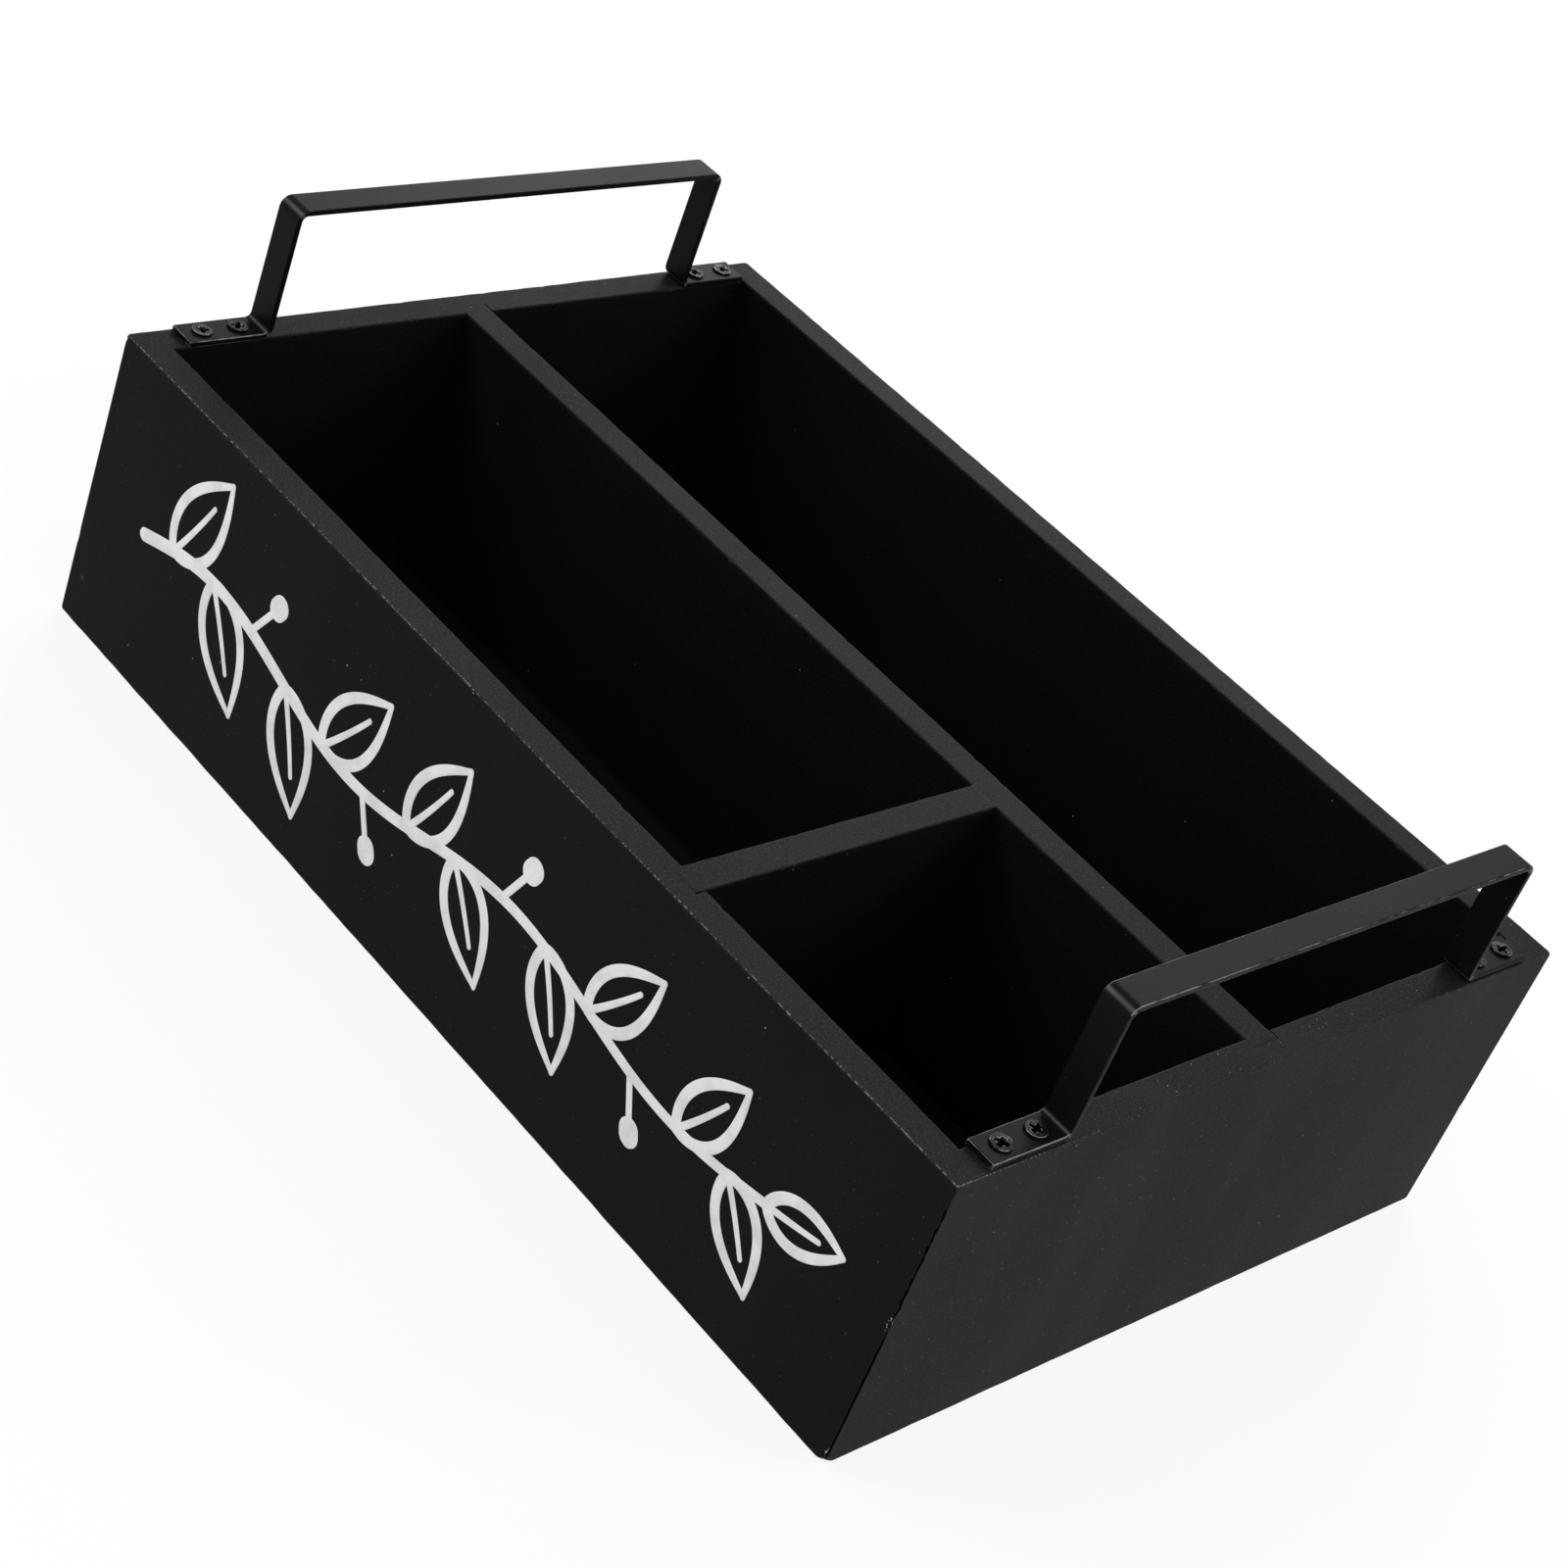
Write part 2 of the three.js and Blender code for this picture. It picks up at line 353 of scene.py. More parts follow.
@dataclass(frozen=True)
class BlackPaint:
    """Flat black paint: roller grain, dust nibs, smears, worn edges with a painted highlight, nicks down to
    the bare board.

    Nibs are given by the spacing and the radius of their specks.
    """

    name: str = "flat_black_paint"
    tone: float = 0.0034
    cloud_tone: float = 0.0050
    smear_tone: float = 0.013
    salt_tone: float = 0.021
    edge_wear_and_highlight_tone: float = 0.026
    rubbed_wear_and_highlight_tone: float = 0.16
    nib_tone: float = 0.42
    bare_tone: float = 0.42
    roughness: float = 0.50
    cloud_roughness: float = 0.10
    grain_roughness: float = 0.16
    gloss: float = 0.034
    cloud_size: float = 45
    grain_size: float = 0.7
    peel_size: float = 3.2
    peel_share: float = 0.5
    relief: float = 0.05
    loose_nibs: tuple[float, float] = (2.4, 0.19)
    close_nibs: tuple[float, float] = (1.1, 0.12)
    large_nibs: tuple[float, float] = (8.0, 0.26)
    nib_patches: Patches = Patches(22, 2, 0.42, 0.62)
    smears: Patches = Patches(34, 2, 0.40, 0.66, (1, 1, 0.35))
    smear_share: float = 0.5
    salt: Patches = Patches(0.5, 1, 0.50, 0.72)
    salt_floor: float = 0.2
    salt_gain: float = 0.9
    rubbing_and_highlights: Wear = Wear(0.6, 3, 0.15, 1.4, 0.52, 0.66)
    chipping: Wear = Wear(0.45, 2, 0.5, 1.0, 0.62, 0.80)

    def make(self) -> bpy.types.Material:
        """Build the material.

        Returns:
            The paint, which reads a board's marks "edge", "bare", "dust" and "grain".
        """
        recipe = Recipe(bpy.data.materials.new(self.name))
        cloud = recipe.noise(self.cloud_size, 3)
        grain = recipe.noise(self.grain_size, 3)
        peel = recipe.noise(self.peel_size, 2)
        dust, edge = recipe.mark("dust"), recipe.mark("edge")
        close_nibs = self.nib_patches.over(recipe) * recipe.specks(*self.close_nibs)
        nibs = (recipe.specks(*self.loose_nibs) + close_nibs) * dust + recipe.specks(*self.large_nibs)
        smear = self.smear_share * (self.smears.over(recipe) * dust)
        salt = (self.salt_floor + self.salt_gain * self.salt.over(recipe)) * recipe.mark("grain")
        colour = recipe.coats(
            self.tone,
            (cloud, self.cloud_tone),
            (smear.at_most(1.0), self.smear_tone),
            (salt, self.salt_tone),
            # Edges are lighter partly from worn paint and partly from a painted highlight.
            (edge, self.edge_wear_and_highlight_tone),
            (self.rubbing_and_highlights.over(recipe, edge), self.rubbed_wear_and_highlight_tone),
            (nibs.at_most(1.0), self.nib_tone),
            (self.chipping.over(recipe, recipe.mark("bare")), self.bare_tone),
        )
        rough = self.roughness + cloud.swing(self.cloud_roughness) + grain.swing(self.grain_roughness)
        return recipe.surface(
            Base_Color=colour,
            Roughness=rough,
            Specular_IOR_Level=self.gloss,
            Normal=recipe.bump(self.peel_share * peel + grain + nibs, self.relief),
        )


@dataclass(frozen=True)
class StripCoat:
    """Satin black powder coat on the bent strips, stretched and painted with a highlight at the bends, worn
    and painted with a highlight on the edges.
    """

    name: str = "strip_powder_coat"
    tone: float = 0.005
    bend_highlight_tone: float = 0.10
    edge_wear_and_highlight_tone: float = 0.24
    scuff_tone: float = 0.15
    roughness: float = 0.36
    cloud_roughness: float = 0.08
    pebble_roughness: float = 0.10
    bend_shine: float = 0.12
    gloss: float = 0.036
    cloud_size: float = 30
    pebble_size: float = 0.55
    relief: float = 0.018
    loose_nibs: tuple[float, float] = (4.0, 0.15)
    close_nibs: tuple[float, float] = (1.0, 0.14)
    nib_patches: Patches = Patches(14, 2, 0.58, 0.68)
    rubbing_and_highlights: Wear = Wear(3.5, 3, 0.45, 1.0, 0.70, 1.05)
    bend_size: float = 5.0
    bend_floor: float = 0.3
    bend_gain: float = 1.1

    def make(self) -> bpy.types.Material:
        """Build the material.

        Returns:
            The coat, which reads a strip's marks "edge" and "bend".
        """
        recipe = Recipe(bpy.data.materials.new(self.name))
        cloud = recipe.noise(self.cloud_size, 2)
        pebbles = recipe.noise(self.pebble_size, 2)
        close_nibs = self.nib_patches.over(recipe) * recipe.specks(*self.close_nibs)
        nibs = recipe.specks(*self.loose_nibs) + close_nibs
        # The bend mask smooths the coat where it is stretched and also lays a painted highlight along the
        # bends.
        bend = recipe.mark("bend") * (self.bend_floor + self.bend_gain * recipe.noise(self.bend_size, 2))
        colour = recipe.coats(
            self.tone,
            (bend.at_most(1.0), self.bend_highlight_tone),
            (self.rubbing_and_highlights.over(recipe, recipe.mark("edge")), self.edge_wear_and_highlight_tone),
            (nibs.at_most(1.0), self.scuff_tone),
        )
        rough = self.roughness + cloud.swing(self.cloud_roughness) + pebbles.swing(self.pebble_roughness)
        return recipe.surface(
            Base_Color=colour,
            Roughness=rough - self.bend_shine * bend,
            Specular_IOR_Level=self.gloss,
            Normal=recipe.bump(pebbles + nibs, self.relief),
        )


@dataclass(frozen=True)
class ScrewBlack:
    """Blackened screw steel, rubbed to bright steel in patches on its edges that give painted glints, and
    painted shade down in the recess.
    """

    name: str = "blackened_screw_steel"
    tone: float = 0.006
    rubbed_and_glint_tone: float = 0.55
    recess_shade_tone: float = 0.001
    roughness: float = 0.30
    cloud_roughness: float = 0.25
    rubbed_shine: float = 0.08
    gloss: float = 0.075
    cloud_size: float = 1.2
    relief: float = 0.012
    rubbing_and_highlights: Patches = Patches(1.8, 1, 0.42, 0.62)
    recess_shade_depths: tuple[float, float] = (0.08, 0.35)

    def make(self) -> bpy.types.Material:
        """Build the material.

        Returns:
            The steel, which reads a screw's marks "edge" and "recess".
        """
        recipe = Recipe(bpy.data.materials.new(self.name))
        cloud = recipe.noise(self.cloud_size, 3)
        # Painted shade in the recess: near-black metal with almost no reflection, deeper down.
        pit = recipe.mark("recess").rise(*self.recess_shade_depths)
        # Bright steel patches on the lips and rim, rubbed steel placed to give painted glints.
        rubbed = recipe.mark("edge") * self.rubbing_and_highlights.over(recipe)
        return recipe.surface(
            Base_Color=recipe.coats(self.tone, (pit, self.recess_shade_tone), (rubbed, self.rubbed_and_glint_tone)),
            Metallic=(rubbed + pit).at_most(1.0),
            Roughness=self.roughness + cloud.swing(self.cloud_roughness) - self.rubbed_shine * rubbed,
            Specular_IOR_Level=self.gloss,
            Normal=recipe.bump(cloud, self.relief),
        )


@dataclass(frozen=True)
class BradWire:
    """Drawn bright wire with fine lengthwise marks."""

    name: str = "drawn_brad_wire"
    tone: float = 0.50
    dull_tone: float = 0.30
    roughness: float = 0.28
    drawn_roughness: float = 0.2
    mark_size: float = 0.25
    mark_stretch: tuple[float, float, float] = (1, 0.05, 1)
    relief: float = 0.006

    def make(self) -> bpy.types.Material:
        """Build the material.

        Returns:
            The wire, with its marks along y.
        """
        recipe = Recipe(bpy.data.materials.new(self.name))
        drawn = recipe.noise(self.mark_size, 2, self.mark_stretch)
        return recipe.surface(
            Base_Color=recipe.coats(self.dull_tone, (drawn, self.tone)),
            Metallic=1.0,
            Roughness=self.roughness + self.drawn_roughness * drawn,
            Normal=recipe.bump(drawn, self.relief),
        )


@dataclass(frozen=True)
class WhiteInk:
    """Matt white ink, slightly uneven in cover."""

    name: str = "matt_white_ink"
    tone: float = 0.79
    thin_tone: float = 0.69
    roughness: float = 0.55
    tooth_roughness: float = 0.15
    gloss: float = 0.2
    cover: Patches = Patches(6.0, 4, 0.35, 0.6)
    tooth_size: float = 0.5
    relief: float = 0.02

    def make(self) -> bpy.types.Material:
        """Build the material.

        Returns:
            The ink.
        """
        recipe = Recipe(bpy.data.materials.new(self.name))
        tooth = recipe.noise(self.tooth_size, 2)
        return recipe.surface(
            Base_Color=recipe.coats(self.thin_tone, (self.cover.over(recipe), self.tone)),
            Roughness=self.roughness + tooth.swing(self.tooth_roughness),
            Specular_IOR_Level=self.gloss,
            Normal=recipe.bump(tooth, self.relief),
        )


@dataclass(frozen=True)
class Ripple:
    """Smooth repeatable unevenness: a sum of sine waves with random headings, lengths and phases."""

    seed: int
    wavelength: float
    waves: int = 9
    spread: tuple[float, float] = (0.6, 1.7)

    def over(self, first: np.ndarray, second: np.ndarray) -> np.ndarray:
        """Height of the ripple, mostly from -1.5 to 1.5.

        Args:
            first: One coordinate in millimetres.
            second: The other, of a shape that goes with it.

        Returns:
            The heights.
        """
        draw = np.random.default_rng(self.seed)
        heading = draw.uniform(0, 2 * np.pi, self.waves)
        number = 2 * np.pi / (self.wavelength * draw.uniform(*self.spread, self.waves))
        phase = draw.uniform(0, 2 * np.pi, self.waves)
        total = np.zeros(np.broadcast(first, second).shape)
        for turn, count, start in zip(heading, number, phase):
            total += np.sin(count * (first * np.cos(turn) + second * np.sin(turn)) + start)
        return total / np.sqrt(self.waves)

    def along(self, places: np.ndarray) -> np.ndarray:
        """Height of the ripple along a line."""
        return self.over(places, np.zeros_like(places))


def node_box(node: str) -> tuple[np.ndarray, np.ndarray]:
    """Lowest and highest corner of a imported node, in millimetres."""
    low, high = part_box(node)
    return np.array(low) / MM, np.array(high) / MM


def eased_radius(along: np.ndarray, radius: float, seed: int) -> np.ndarray:
    """Radius of a hand-eased edge along a board: radius times 1 + swing * ripple."""
    return radius * (1 + EDGE_SWING * Ripple(seed, EDGE_WAVE).along(along))


def edge_breaks(along: np.ndarray, seed: int, least: float) -> np.ndarray:
    """Small breaks of an edge along a board: what a short ripple has above least, and 0 elsewhere."""
    return np.clip(Ripple(seed, BREAK_WAVE).along(along) - least, 0, None)


def ticks(length: float, pitch: float, extra: Sequence[float] = (), closest: float = 0.04) -> np.ndarray:
    """Places along a straight stretch, as shares of it: an even pitch, closer together near both ends.

    Args:
        length: Length of the stretch in millimetres.
        pitch: Even spacing in millimetres.
        extra: Further places in millimetres from its start.
        closest: Places nearer than this to the one before are left out.

    Returns:
        Rising shares, all between 0 and 1.
    """
    near = np.array([0.15, 0.45, 1.0, 1.8])
    near = near[near < 0.4 * length]
    even = np.linspace(0, length, max(2, round(length / pitch)) + 1)[1:-1]
    places = np.sort(np.concatenate([near, length - near, even, np.asarray(extra, float)]))
    return places[np.append(True, np.diff(places) > closest)] / length


def rounded_outline(
    corners: np.ndarray, radii: np.ndarray, sides: Sequence[np.ndarray], arc_steps: int = 5
) -> tuple[np.ndarray, np.ndarray]:
    """Closed outline with square corners eased to arcs, for every station at once.

    A corner at c with the way in a and the way out b becomes c - a r (1 - sin q) + b r (1 - cos q) for q
    from 0 to a quarter turn, and the stretch to the next corner is straight.

    Args:
        corners: The k corners, an array of (k, 2), with right angles between the stretches.
        radii: Radius of each corner at each station, an array of (stations, k).
        sides: Shares along the stretch that follows each corner.
        arc_steps: Steps in each arc.

    Returns:
        Points as (stations, count, 2), and for each of the count points how near it is to an edge, 1 in the
        middle of an arc and falling off beside it.
    """
    following = np.roll(corners, -1, axis=0)
    out = (following - corners) / np.linalg.norm(following - corners, axis=1, keepdims=True)
    into = np.roll(out, 1, axis=0)
    turn = np.linspace(0, QUARTER_TURN, arc_steps + 1)[None, :, None]
    parts, nearness = [], []
    for i, shares in enumerate(sides):
        radius = radii[:, i, None, None]
        before = into[i] * radius * (1 - np.sin(turn))
        beyond = out[i] * radius * (1 - np.cos(turn))
        parts.append(corners[i] - before + beyond)
        nearness.append(0.5 + 0.5 * np.sin(2 * turn.ravel()))
        start = corners[i] + out[i] * radius
        stop = following[i] - out[i] * np.roll(radii, -1, axis=1)[:, i, None, None]
        parts.append(start + (stop - start) * shares[None, :, None])
        length = np.linalg.norm(following[i] - corners[i])
        nearness.append(0.5 * np.exp(-np.minimum(shares, 1 - shares) * length / EDGE_FADE))
    return np.concatenate(parts, axis=1), np.concatenate(nearness)


def oblong(
    half: np.ndarray, radii: np.ndarray, pitches: tuple[float, float], draw_in: np.ndarray
) -> tuple[np.ndarray, np.ndarray]:
    """Rounded oblong about the origin at every station, shrunk on all sides by draw_in.

    Args:
        half: Half its width and half its height.
        radii: Radius of each corner at each station, an array of (stations, 4).
        pitches: Spacing of the points up its sides, and across its top and bottom.
        draw_in: How far each station is drawn in.

    Returns:
        Points as (stations, count, 2), and how near to an edge each of the count points is.
    """
    corners = half * np.array([(-1, -1), (-1, 1), (1, 1), (1, -1)])
    up, across = ticks(2 * half[1], pitches[0]), ticks(2 * half[0], pitches[1])
    section, edge = rounded_outline(corners, radii, [up, across, up, across])
    return section * (1 - draw_in[:, None, None] / half), edge


def eased_end(radius: float) -> tuple[np.ndarray, np.ndarray]:
    """Stations that round off the end of a bar: distances from the end, and how far each is drawn in."""
    turn = np.linspace(0, QUARTER_TURN, 4)[::-1]
    return radius * (1 - np.sin(turn)), radius * (1 - np.cos(turn))


def ring_faces(index: np.ndarray) -> list[list[int]]:
    """Quads between rows of point numbers, each row closed to a ring."""
    after = np.roll(index, -1, axis=1)
    return np.stack([index[:-1], after[:-1], after[1:], index[1:]], axis=-1).reshape(-1, 4).tolist()


def tube_faces(stations: int, count: int) -> list[list[int]]:
    """Faces of a closed outline of count points carried through stations, with both ends closed."""
    index = np.arange(stations * count).reshape(stations, count)
    return ring_faces(index) + [index[0, ::-1].tolist(), index[-1].tolist()]


def turned_faces(rows: int, count: int) -> list[list[int]]:
    """Faces of a turned shape, closed by a fan of triangles at both ends.

    Args:
        rows: Number of rings; their points come after point 0 and before the last point.
        count: Number of points in a ring.

    Returns:
        Lists of point numbers.
    """
    index = 1 + np.arange(rows * count).reshape(rows, count)
    after = np.roll(index, -1, axis=1)
    last = np.full(count, 1 + rows * count)
    first_fan = np.stack([np.zeros(count, int), after[0], index[0]], axis=-1)
    last_fan = np.stack([index[-1], after[-1], last], axis=-1)
    return first_fan.tolist() + ring_faces(index) + last_fan.tolist()


def outward(points: np.ndarray, faces: list[list[int]]) -> list[list[int]]:
    """Faces of a closed shape, all turned round if they enclose a negative volume.

    The volume is the sum over fans of triangles of the box product of their corners, over six.

    Args:
        points: Points, (n, 3).
        faces: Lists of point numbers that agree on which side is out.

    Returns:
        The faces, pointing out.
    """
    fans = [(face[0], face[i], face[i + 1]) for face in faces for i in range(1, len(face) - 1)]
    first, second, third = (points - points.mean(axis=0))[np.array(fans).T]
    volume = np.einsum("ij,ij->i", first, np.cross(second, third)).sum() / 6
    return [face[::-1] for face in faces] if volume < 0 else faces


def new_piece(
    name: str,
    points: np.ndarray,
    faces: list[list[int]],
    marks: Mapping[str, np.ndarray] | None = None,
    crease: float = 38,
) -> bpy.types.Object:
    """Object of a closed mesh with its faces outward.

    Args:
        name: Name of the piece.
        points: Points in millimetres, (n, 3).
        faces: Lists of point numbers.
        marks: Values at the points, by name, for the finish to read.
        crease: Edges that turn more than this many degrees stay sharp.

    Returns:
        The object, at the origin.
    """
    faces = outward(points, faces)
    mesh = bpy.data.meshes.new(name)
    mesh.from_pydata((points * MM).tolist(), [], faces)
    for mark, values in (marks or {}).items():
        layer = mesh.attributes.new(mark, "FLOAT", "POINT")
        layer.data.foreach_set("value", np.asarray(values, np.float32).ravel())
    mesh.polygons.foreach_set("use_smooth", np.ones(len(faces), bool))
    mesh.set_sharp_from_angle(angle=math.radians(crease))
    mesh.validate()
    piece = bpy.data.objects.new(name, mesh)
    bpy.context.scene.collection.objects.link(piece)
    return piece


def settle(
    piece: bpy.types.Object, material: bpy.types.Material, nodes: Sequence[str] = ()
) -> None:
    """Give a piece its finish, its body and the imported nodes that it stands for.

    Args:
        piece: The new piece.
        material: Its finish.
        nodes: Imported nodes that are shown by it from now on.
    """
    piece.data.materials.append(material)
    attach(piece, ROOT)
    if nodes:
        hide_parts(*nodes)
    stands_for = ", ".join(nodes) or "itself"
    log.info("%s: %d faces, stands for %s", piece.name, len(piece.data.polygons), stands_for)


def build_tube(
    name: str,
    points: np.ndarray,
    marks: Mapping[str, np.ndarray],
    material: bpy.types.Material,
    node: str,
) -> None:
    """Make a piece of a closed outline carried through stations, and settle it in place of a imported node.

    Args:
        name: Name of the piece.
        points: Points in millimetres, (stations, count, 3).
        marks: Values at the points, by name, for the finish to read.
        material: Its finish.
        node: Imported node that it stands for.
    """
    piece = new_piece(name, points.reshape(-1, 3), tube_faces(*points.shape[:2]), marks)
    settle(piece, material, [node])


@dataclass(frozen=True)
class Groove:
    """Housing for a divider in a wall: from low to high along the wall, cut to a depth."""

    low: float
    high: float
    depth: float = 3.0

    def stations(self) -> list[float]:
        """Places along the wall on both sides of each groove wall."""
        return [edge + step for edge in (self.low, self.high) for step in (-0.01, 0.01)]

    def spans(self, along: np.ndarray) -> np.ndarray:
        """Which places along the wall lie in the groove."""
        return (along > self.low) & (along < self.high)

    def press(self, along: np.ndarray, depth: np.ndarray, board: float, knee: float) -> np.ndarray:
        """Depths with the groove cut: between its walls what lies past the knee is drawn in.

        Args:
            along: Places along the wall.
            depth: Depth of each point from the outer face.
            board: Thickness of the wall.
            knee: Depth from which points move.

        Returns:
            The new depths.
        """
        share = (board - self.depth - knee) / (board - knee)
        return np.where(self.spans(along) & (depth > knee), knee + (depth - knee) * share, depth)


@dataclass(frozen=True)
class Nick:
    """A knock on an upright corner edge of the box, with the weights of x and y in how far it reaches."""

    x_side: int
    y_side: int
    height: float
    length: float
    depth: float
    bare: float
    weights: tuple[float, float] = (1.0, 1.0)


@dataclass
class WallBoard:
    """A mitred wall of the box with a rabbet for the bottom, and grooves for dividers.

    Pairs of values are for its two ends, the left one first as seen from outside. Not so chip_range, a
    range of heights where points lie closer, and fleck, a pale spot's distance from the left end and its
    height.
    """

    name: str
    node: str
    side: Side
    seed: int
    grooves: Sequence[Groove]
    seams: tuple[float, float]
    dust: float
    grain: float
    # These set the lighter edge tone, which is partly worn paint and partly a painted highlight.
    rub_and_highlight: float = 0.55
    inner_rub_and_highlight: float = 0.8
    corner_rub_and_highlight: tuple[float, float] = (0.06, 0.06)
    rub_reach: float = 24.0
    corner_wear_and_highlight: float = 0.6
    corner_depth: float = 0.6
    pitch: float = 1.4
    side_pitches: Sequence[float] = (1.1, 0.9, 2.4, 1.2, 1.4, 1.2)
    groove_clear: float = 0.15
    closest: float = 0.008
    rabbet: float = 4.0
    shoulder: float = 5.3
    knee: float = 0.2
    edge_radius: float = 0.38
    inner_radius: float = 0.12
    least_break: float = 1.15
    outer_break: float = 0.4
    inner_break: float = 0.7
    slant_reach: float = 30.0
    seam_reach: float = 3.0
    inside_dust: float = 0.12
    inside_grain: float = 0.3
    bow: float = 0.03
    rim_bow: float = 0.6
    chip_range: tuple[float, float] = (37.5, 45.0)
    chip_pitch: float = 0.35
    brad_inset: float = 4.0
    brad_heights: Sequence[float] = (13.0, 56.0)
    filler_reach: float = 1.8
    filler_radius: float = 1.5
    filler_depth: float = 0.06
    fleck: tuple[float, float] | None = None
    fleck_radius: float = 1.5
    fleck_rub: float = 0.74

    def __post_init__(self) -> None:
        """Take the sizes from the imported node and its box."""
        self.half_box = (np.array(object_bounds()[1]) / MM)[:2]
        self.along_x = self.side in (Side.FRONT, Side.BACK)
        self.half = float(self.half_box[0 if self.along_x else 1])
        self.distance = float(self.half_box[1 if self.along_x else 0])
        low, high = node_box(self.node)
        size = high - low
        self.board = float(size[1] if self.along_x else size[0])
        self.height = float(size[2])
        self.filler_ticks = np.linspace(-self.filler_reach, self.filler_reach, 9)

    def stations(self) -> np.ndarray:
        """Places along the board: an even pitch, closer at the ends, the grooves and the brads.

        Returns:
            Rising places in millimetres from its middle.
        """
        near = np.array([0, 0.06, 0.14, 0.25, 0.4, 0.6, 0.9, 1.3, 1.9, 2.7, 3.6])
        brads = self.half - self.brad_inset + self.filler_ticks * self.along_x
        even = np.linspace(-self.half, self.half, round(2 * self.half / self.pitch))
        grooved = [place for groove in self.grooves for place in groove.stations()]
        places = np.concatenate([even, near - self.half, self.half - near, brads, -brads])
        clear = np.ones(len(places), bool)
        for place in grooved:
            clear &= np.abs(places - place) > self.groove_clear
        places = np.sort(np.concatenate([places[clear], grooved]))
        return places[np.append(True, np.diff(places) > self.closest)]

    def radii(self, along: np.ndarray) -> np.ndarray:
        """Radius of each corner of the outline along the board: uneven, with small breaks on the rim.

        Args:
            along: Places along the board.

        Returns:
            Radii as (stations, 6).
        """
        base, outer_top, inner_top = (
            eased_radius(along, self.edge_radius, self.seed + i) for i in (2, 0, 1)
        )
        outer_top = outer_top + self.outer_break * edge_breaks(along, self.seed + 5, self.least_break)
        inner_top = inner_top + self.inner_break * edge_breaks(along, self.seed + 6, self.least_break)
        small = np.full_like(along, self.inner_radius)
        for groove in self.grooves:
            inner_top = np.where(groove.spans(along), SQUARE, inner_top)
        return np.stack([base, outer_top, inner_top, small, small, small], axis=1)

    def gape(self, height: np.ndarray) -> np.ndarray:
        """How far the mitre stands open up the corner: most low down, ragged above, shut at the rim.

        Args:
            height: Heights above the base.

        Returns:
            Shares of the seam's width: a line through the levels, times 1 + raggedness * ripple.
        """
        levels = (0.0, 1.5, 36.0, 39.5, 42.5, 46.0, 73.0, 77.5)
        shares = (0.4, 1.0, 1.0, 0.35, 0.35, 0.85, 0.75, 0.0)
        raggedness = np.clip((height - 36) / 8, 0.15, 0.7)
        ragged = raggedness * Ripple(self.seed + 20, 2.8).along(height)
        return np.interp(height, levels, shares) * np.clip(1 + ragged, 0, None)

    def outline(self, along: np.ndarray) -> tuple[np.ndarray, np.ndarray]:
        """Section at each station, with the rabbet cut out.

        Args:
            along: Places along the board.

        Returns:
            Depth from the outer face and height as (stations, count, 2), and how near to an edge each of
            the count points is.
        """
        inner = self.board - self.rabbet
        corners = np.array(
            [
                (0, 0),
                (0, self.height),
                (self.board, self.height),
                (self.board, self.shoulder),
                (inner, self.shoulder),
                (inner, 0),
            ]
        )
        fillers = [height + step for height in self.brad_heights for step in self.filler_ticks]
        fillers += list(np.arange(*self.chip_range, self.chip_pitch))
        lengths = np.linalg.norm(np.roll(corners, -1, axis=0) - corners, axis=1)
        extras = [fillers] + [()] * (len(corners) - 1)
        sides = [ticks(*stretch) for stretch in zip(lengths, self.side_pitches, extras)]
        return rounded_outline(corners, self.radii(along), sides)

    def dished(self, along: np.ndarray, height: np.ndarray) -> np.ndarray:
        """Depth of the dishes over the filled brads: (1 - (far / radius)**2)**2 within the radius.

        Args:
            along: Places along the board.
            height: Heights above the base.

        Returns:
            Depth at each point.
        """
        depth = np.zeros(np.broadcast(along, height).shape)
        for brad_height in self.brad_heights:
            far = np.hypot(np.abs(along) - self.half + self.brad_inset, height - brad_height)
            depth += self.filler_depth * np.clip(1 - (far / self.filler_radius) ** 2, 0, None) ** 2
        return depth

    def marks(
        self, along: np.ndarray, depth: np.ndarray, height: np.ndarray, edge: np.ndarray
    ) -> dict[str, np.ndarray]:
        """Values for the paint.

        Args:
            along: Places along the board, (stations, 1).
            depth: Depth from the outer face, (stations, count).
            height: Heights above the base, (stations, count).
            edge: How near to an edge each of the count points is.

        Returns:
            "edge", how far a point lies on a rubbed edge with a painted highlight, "dust", how many nibs
            the paint has there, and "grain", how far the brush grain shows.
        """
        inside = depth > 0.5 * self.board
        past_end = np.abs(along) - self.half
        at_corner = np.exp(past_end / EDGE_FADE) * (depth < self.corner_depth) * self.corner_wear_and_highlight
        corner_rub_and_highlight = np.where(along > 0, self.corner_rub_and_highlight[1], self.corner_rub_and_highlight[0])
        rub_and_highlight = self.rub_and_highlight + corner_rub_and_highlight * np.exp(past_end / self.rub_reach)
        edge = np.maximum(edge[None, :], at_corner) * np.where(inside, self.inner_rub_and_highlight * self.rub_and_highlight, rub_and_highlight)
        if self.fleck:
            far = np.hypot(along + self.half - self.fleck[0], height - self.fleck[1])
            pale = self.fleck_rub * np.clip(1 - far / self.fleck_radius, 0, 1)
            edge = np.maximum(edge, pale * ~inside)
        below = height < self.height - RIM_BAND
        hidden = inside & below
        dust = self.dust * np.where(hidden, self.inside_dust, 1)
        grain = np.where(hidden, self.inside_grain, np.where(below, self.grain, 1))
        return {"edge": edge, "dust": dust, "grain": grain}

